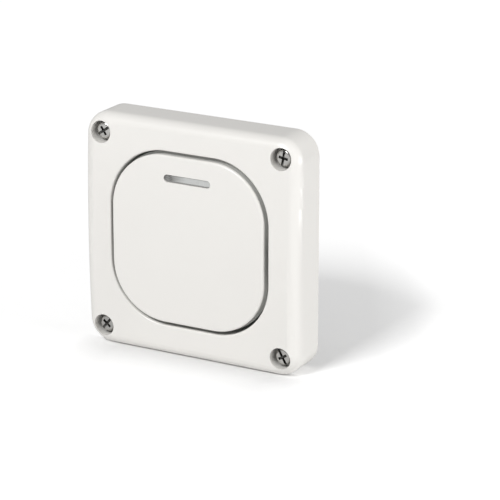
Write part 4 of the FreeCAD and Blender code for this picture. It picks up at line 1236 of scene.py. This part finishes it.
@dataclass(frozen=True)
class ScrewSeals:
    """Soft sealing rings squeezed under the heads of the cover screws, in millimetres.

    Attributes:
        inner: Inner radius.
        outer: Outer radius.
        front: Plane under the head.
        back: Plane on the pocket's floor.
        square: Exponent of the section's outline: 2 is an ellipse, and more is squarer.
        section_points: Points round the section.
        turn_points: Sections round the screw.
    """

    inner: float = 1.35
    outer: float = 2.9
    front: float = -10.3
    back: float = -9.3
    square: float = 3.4
    section_points: int = 32
    turn_points: int = 72

    def build(self) -> bpy.types.Object:
        """Builds the four rings.

        The section is a superellipse: its two coordinates are the half sizes times the cosine
        and the sine of an angle, each raised to 2 over the exponent with its sign kept. It
        turns once round the screw.

        Returns:
            The linked object.
        """
        angle = full_turn(self.section_points)
        cosine, sine = np.cos(angle), np.sin(angle)
        power = 2 / self.square
        radial = np.sign(cosine) * abs(cosine) ** power * (self.outer - self.inner) / 2
        axial = np.sign(sine) * abs(sine) ** power * (self.back - self.front) / 2
        radius = (self.outer + self.inner) / 2 + radial[None, :]
        turn = full_turn(self.turn_points)[:, None]
        x, z = radius * np.cos(turn), radius * np.sin(turn)
        y = np.broadcast_to((self.front + self.back) / 2 + axial, x.shape)
        ring = Skin.ring(np.stack((x, y, z), -1) * MM)
        places = four_corners(FIXING_REACH, 0.0, FIXING_REACH, -FIXING_REACH)
        skins = [ring.placed(np.array(place) * MM, np.eye(3)) for place in places]
        return make_piece("squeezed_screw_seals", skins, Crease.SEAL)


@dataclass(frozen=True)
class PlungerSpring:
    """Coil spring, built here at one length, that shortens in the switch as the plunger goes into
    the dolly, in millimetres.

    Attributes:
        root: Middle of its end on the bore's floor.
        end: Middle of its end on the plunger.
        coil_radius: Radius of the coil.
        wire_radius: Radius of the wire.
        end_gap: Distance from each end to the wire's middle, in wire radii.
        turns: Turns of the coil.
        stroke: How far the plunger goes in; not used.
        steps: Circles along the wire.
        wire_points: Points in each circle.
    """

    root: Point = (0.0, 9.195, 0.57)
    end: Point = (0.0, 11.588, 0.385)
    coil_radius: float = 1.054
    wire_radius: float = 0.18
    end_gap: float = 1.2
    turns: float = 4.0
    stroke: float = 0.8
    steps: int = 161
    wire_points: int = 12

    def build(self) -> bpy.types.Object:
        """Builds the spring as a round wire carried along a helix.

        The helix is, at the turn t, the root plus the coil radius times (cos t, sin t) across
        the axis plus the rise per turn along it. The wire's circle stands on the helix's
        normal and on the cross product of its direction and that normal, and closes on the
        middle of each end.

        Returns:
            The linked object.
        """
        axis, span = self._line()
        side = np.array((1.0, 0.0, 0.0))
        other = np.cross(axis, side)
        turn = np.linspace(0, 2 * math.pi * self.turns, self.steps)[:, None]
        rise = (span - 2 * self.end_gap * self.wire_radius) / (2 * math.pi * self.turns)
        outward = np.cos(turn) * side + np.sin(turn) * other
        start = np.array(self.root) + axis * self.end_gap * self.wire_radius
        spine = start + self.coil_radius * outward + axis * rise * turn
        heading = self.coil_radius * (np.cos(turn) * other - np.sin(turn) * side) + rise * axis
        heading /= np.linalg.norm(heading, axis=1, keepdims=True)
        across = np.cross(heading, outward)
        angle = full_turn(self.wire_points)[None, :, None]
        circle = np.cos(angle) * outward[:, None] + np.sin(angle) * across[:, None]
        tube = spine[:, None] + self.wire_radius * circle
        skin = Skin.tube(tube * MM, spine[0] * MM, spine[-1] * MM)
        return make_piece("coiled_plunger_spring", (skin,), Crease.METAL)

    def follow(self, piece: bpy.types.Object) -> None:
        """Gives the spring its own copy of its mesh.

        Args:
            piece: The spring, already on its body.
        """
        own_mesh(piece)

    def _line(self) -> tuple[np.ndarray, float]:
        """Measures the line from the root to the end.

        Returns:
            Its direction and its length.
        """
        way = np.array(self.end) - np.array(self.root)
        span = float(np.linalg.norm(way))
        return way / span, span


@dataclass(frozen=True)
class FlexingMembrane:
    """The membrane as one soft skin, not bent here, whose boot leans with the key's finger in the
    switch, in millimetres.

    Attributes:
        still_y: Plane up to which it stays with the cover; not used.
        moving_y: Plane from which it follows the key; not used.
        level: Height of the finger; not used.
        merge: Distance within which two points of the skin are one.
    """

    still_y: float = -5.0
    moving_y: float = -2.0
    level: float = 0.7
    merge: float = 0.0001

    def build(self, node: bpy.types.Object) -> bpy.types.Object:
        """Joins a copy of the node's loose triangles into one skin.

        Args:
            node: The node's object.

        Returns:
            The linked object.
        """
        mesh = node.data.copy()
        mesh.name = "flexing_membrane"
        work = bmesh.new()
        work.from_mesh(mesh)
        bmesh.ops.remove_doubles(work, verts=work.verts, dist=self.merge * MM)
        work.to_mesh(mesh)
        work.free()
        piece = link_smooth(mesh, Crease.SHEET)
        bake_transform(piece)
        return piece


@dataclass(frozen=True)
class Softbox:
    """A rectangular area light aimed at the object.

    Attributes:
        name: Light name.
        place: Position in metres.
        width: Width in metres.
        height: Height in metres.
        watts: Power.
        aim: Point that it faces.
    """

    name: str
    place: Point
    width: float
    height: float
    watts: float
    aim: Point = (0.0, 0.0, 0.0)

    def build(self) -> None:
        """Adds the light to the scene, unseen by the camera."""
        data = bpy.data.lights.new(self.name, "AREA")
        data.shape = "RECTANGLE"
        data.size = self.width
        data.size_y = self.height
        data.energy = self.watts
        lamp = bpy.data.objects.new(self.name, data)
        lamp.location = self.place
        direction = Vector(self.aim) - Vector(self.place)
        lamp.rotation_euler = direction.to_track_quat("-Z", "Y").to_euler()
        lamp.visible_camera = False
        bpy.context.scene.collection.objects.link(lamp)


@dataclass(frozen=True)
class PhotoCamera:
    """Camera fitted to the photograph.

    Attributes:
        azimuth: Turn from straight in front towards +X, in radians.
        elevation: Height above the horizon, in radians.
        offset: Aim point's place in the camera's own axes: right, down and forward.
        aim: Point of the object that the fit measured from.
        focal_px: Focal length in pixels of the square picture.
        picture_px: Side of the square picture in pixels.
        sensor: Width of the sensor, in millimetres.
        clip: Nearest and farthest distance that is drawn.
    """

    azimuth: float = 0.5097167
    elevation: float = 0.3165198
    offset: Point = (-0.01997752, -0.00180556, 0.8642473)
    aim: Point = (0.0, -0.01405, 0.0)
    focal_px: float = 2600.0
    picture_px: float = 500.0
    sensor: float = 36.0
    clip: tuple[float, float] = (0.05, 20.0)

    def build(self) -> None:
        """Adds the camera and makes it the scene's own."""
        east, north = math.sin(self.azimuth), math.cos(self.azimuth)
        level, rise = math.cos(self.elevation), math.sin(self.elevation)
        right = Vector((north, east, 0))
        forward = Vector((-east * level, north * level, -rise))
        down = forward.cross(right)
        data = bpy.data.cameras.new("photo_camera")
        data.sensor_width = self.sensor
        data.lens = self.focal_px * data.sensor_width / self.picture_px
        data.clip_start, data.clip_end = self.clip
        camera = bpy.data.objects.new("photo_camera", data)
        basis = Matrix((right, -down, -forward)).transposed().to_4x4()
        across, below, ahead = self.offset
        place = Vector(self.aim) - right * across - down * below - forward * ahead
        camera.matrix_world = Matrix.Translation(place) @ basis
        bpy.context.scene.collection.objects.link(camera)
        bpy.context.scene.camera = camera


@dataclass(frozen=True)
class Studio:
    """White floor, white surroundings and soft lights.

    Attributes:
        floor_z: Height of the floor.
        floor_half: Half the floor's side.
        floor_shade: Share of light that the floor gives back.
        floor_glow: Light that the floor adds by itself, to the camera and through clear
        plastic alone, at growing distances from the object's foot; its dip near the foot
        is painted shade.
        contact: Share of the glow taken away by a painted contact shadow, at growing distances
            before the foot.
        contact_front: Y of the line that the painted contact shadow starts from.
        contact_middle: Middle of the painted contact shadow along X.
        contact_half: Half its width, beyond which it fades.
        contact_fade: Width of the fading.
        pool: Painted light of a brighter pool on the right, added by distance along its direction.
        pool_turn: Turn of the painted pool's direction from +X towards +Y, in radians.
        foot: Half the width, the front and the back of the object's foot.
        ambient: Strength of the surroundings as a light.
        mirrored: Strength of the surroundings in reflections.
        lights: The area lights.
    """

    floor_z: float = -0.041
    floor_half: float = 6.0
    floor_shade: float = 0.834
    floor_glow: Knots = (
        (0.0, 0.36), (0.03, 0.4), (0.08, 0.42), (0.13, 0.47), (0.3, 0.57), (0.6, 0.66)
    )
    contact: Knots = (
        (0.0, 0.0), (0.0005, 0.98), (0.005, 0.96), (0.009, 0.82), (0.013, 0.62), (0.019, 0.42),
        (0.027, 0.22), (0.04, 0.07), (0.07, 0.0)
    )
    contact_front: float = -0.009
    contact_middle: float = 0.001
    contact_half: float = 0.03
    contact_fade: float = 0.016
    pool: Knots = (
        (0.0, 0.0), (0.056, 0.0), (0.0668, 0.055), (0.0705, 0.08), (0.0795, 0.19), (0.09, 0.22)
    )
    pool_turn: float = 0.5097167
    foot: Point = (0.041, -0.014, 0.0)
    ambient: float = 0.249
    mirrored: float = 0.5
    lights: tuple[Softbox, ...] = (
        Softbox("main_light", (-0.14, -0.88, 0.77), 0.34, 0.34, 9.6),
        Softbox("right_fill", (1.0, 0.06, 0.08), 0.6, 0.22, 5.45, (0.04, 0.0, 0.0)),
    )

    def build(self) -> None:
        """Builds the floor, the surroundings and the lights."""
        self._floor()
        self._surroundings()
        for light in self.lights:
            light.build()
            LOG.info("light %s", light.name)
        scene = bpy.context.scene
        scene.view_settings.view_transform = "Standard"
        scene.view_settings.look = "None"

    def _floor(self) -> None:
        """Adds the floor plane with its pale finish."""
        half = self.floor_half
        corners = [(-half, -half), (half, -half), (half, half), (-half, half)]
        mesh = bpy.data.meshes.new("floor")
        mesh.from_pydata([(x, y, self.floor_z) for x, y in corners], [], [(0, 1, 2, 3)])
        floor = bpy.data.objects.new("floor", mesh)
        bpy.context.scene.collection.objects.link(floor)
        material = bpy.data.materials.new("floor_paper")
        material.use_nodes = True
        material.node_tree.nodes.clear()
        graph = NodeGraph(material.node_tree)
        diffuse = graph.add("BsdfDiffuse")
        diffuse.inputs["Color"].default_value = (*(self.floor_shade,) * 3, 1)
        glow = graph.add("Emission")
        graph.feed(self._glow(graph), glow.inputs["Strength"])
        total = graph.add("AddShader")
        graph.feed(diffuse.outputs[0], total.inputs[0])
        graph.feed(glow.outputs[0], total.inputs[1])
        graph.feed(total.outputs[0], graph.add("OutputMaterial").inputs["Surface"])
        mesh.materials.append(material)

    def _glow(self, graph: NodeGraph) -> Socket:
        """Works out the floor's glow from the distance to the object's foot.

        The distance is the hypotenuse of how far a point lies beyond the foot's half width
        and how far it lies before its front or behind its back. A painted contact shadow takes
        a share of the glow away, and a painted pool of light far to the right is added to it.

        Args:
            graph: The floor's nodes.

        Returns:
            The strength of the glow, 0 for rays that only carry light.
        """
        half, front, back = self.foot
        axes = graph.axes()
        x, y = axes["X"], axes["Y"]
        aside = self._beyond(graph, x, 0.0, half)
        away = self._beyond(graph, y, (front + back) / 2, (back - front) / 2)
        squares = [graph.math("POWER", side, 2.0) for side in (aside, away)]
        # Painted shade: the glow is weaker near the object's foot.
        lit = graph.curve(graph.math("SQRT", graph.math("ADD", *squares)), self.floor_glow)
        # Painted contact shadow before the object's front.
        ahead = graph.curve(graph.math("SUBTRACT", self.contact_front, y), self.contact)
        across = self._beyond(graph, x, self.contact_middle, self.contact_half)
        beside = graph.curve(across, ((0.0, 1.0), (self.contact_fade, 0.0)))
        missing = graph.math("MULTIPLY", ahead, beside)
        lit = graph.math("MULTIPLY", lit, graph.math("SUBTRACT", 1.0, missing))
        # Painted pool of light on the right.
        turned = zip((x, y), (math.cos(self.pool_turn), math.sin(self.pool_turn)))
        along = graph.math("ADD", *(graph.math("MULTIPLY", axis, part) for axis, part in turned))
        lit = graph.math("ADD", lit, graph.curve(along, self.pool))
        return graph.math("MULTIPLY", lit, self._seen(graph, 0.0))

    @staticmethod
    def _beyond(graph: NodeGraph, value: Socket, middle: float, half: float) -> Socket:
        """Tells how far a value lies beyond a stretch.

        Args:
            graph: The nodes to add to.
            value: The value.
            middle: Middle of the stretch.
            half: Half its length.

        Returns:
            The distance to the stretch's nearer end, 0 inside it.
        """
        away = graph.math("ABSOLUTE", graph.math("SUBTRACT", value, middle))
        return graph.math("MAXIMUM", graph.math("SUBTRACT", away, half), 0.0)

    @staticmethod
    def _seen(graph: NodeGraph, mirrored: float) -> Socket:
        """Tells rays that show the background from rays that only carry light.

        Args:
            graph: The nodes to add to.
            mirrored: Share for reflected rays.

        Returns:
            1 for rays of the camera and through clear plastic, the share for reflected rays,
            and 0 for all others.
        """
        rays = graph.add("LightPath").outputs
        straight = graph.math("MAXIMUM", rays["Is Camera Ray"], rays["Is Transmission Ray"])
        bounced = graph.math("MULTIPLY", rays["Is Glossy Ray"], mirrored)
        return graph.math("MAXIMUM", straight, bounced)

    def _surroundings(self) -> None:
        """Makes the world white to the camera and dimmer to reflections and all else."""
        world = bpy.data.worlds.new("white_room")
        bpy.context.scene.world = world
        world.use_nodes = True
        background = world.node_tree.nodes["Background"]
        background.inputs["Color"].default_value = (1, 1, 1, 1)
        graph = NodeGraph(world.node_tree)
        level = graph.math("MAXIMUM", self._seen(graph, self.mirrored), self.ambient)
        graph.feed(level, background.inputs["Strength"])


def main() -> None:
    """Loads the frame, dresses every node and builds the studio."""
    logging.basicConfig(level=logging.INFO, format="%(name)s: %(message)s")
    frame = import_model()
    shop = FinishShop()
    for node, piece in sorted(frame["nodes"].items()):
        shop.dress(piece, node)
        LOG.info("node %s", node)
    for screws in Fastenings().sets():
        shop.fit(screws.build(), screws.node, "housing")
    shop.fit(IndicatorLens().build(), "indicator_lens", "key")
    shop.fit(RearGasket().build(), "rear_gasket", "housing")
    shop.fit(ScrewSeals().build(), "screw_seals", "housing")
    spring = PlungerSpring()
    coil = spring.build()
    shop.fit(coil, "plunger_spring", "plunger_body")
    spring.follow(coil)
    membrane = FlexingMembrane().build(frame["nodes"]["sealing_membrane"])
    shop.fit(membrane, "sealing_membrane", None)
    Studio().build()
    PhotoCamera().build()


if __name__ == "__main__":
    main()
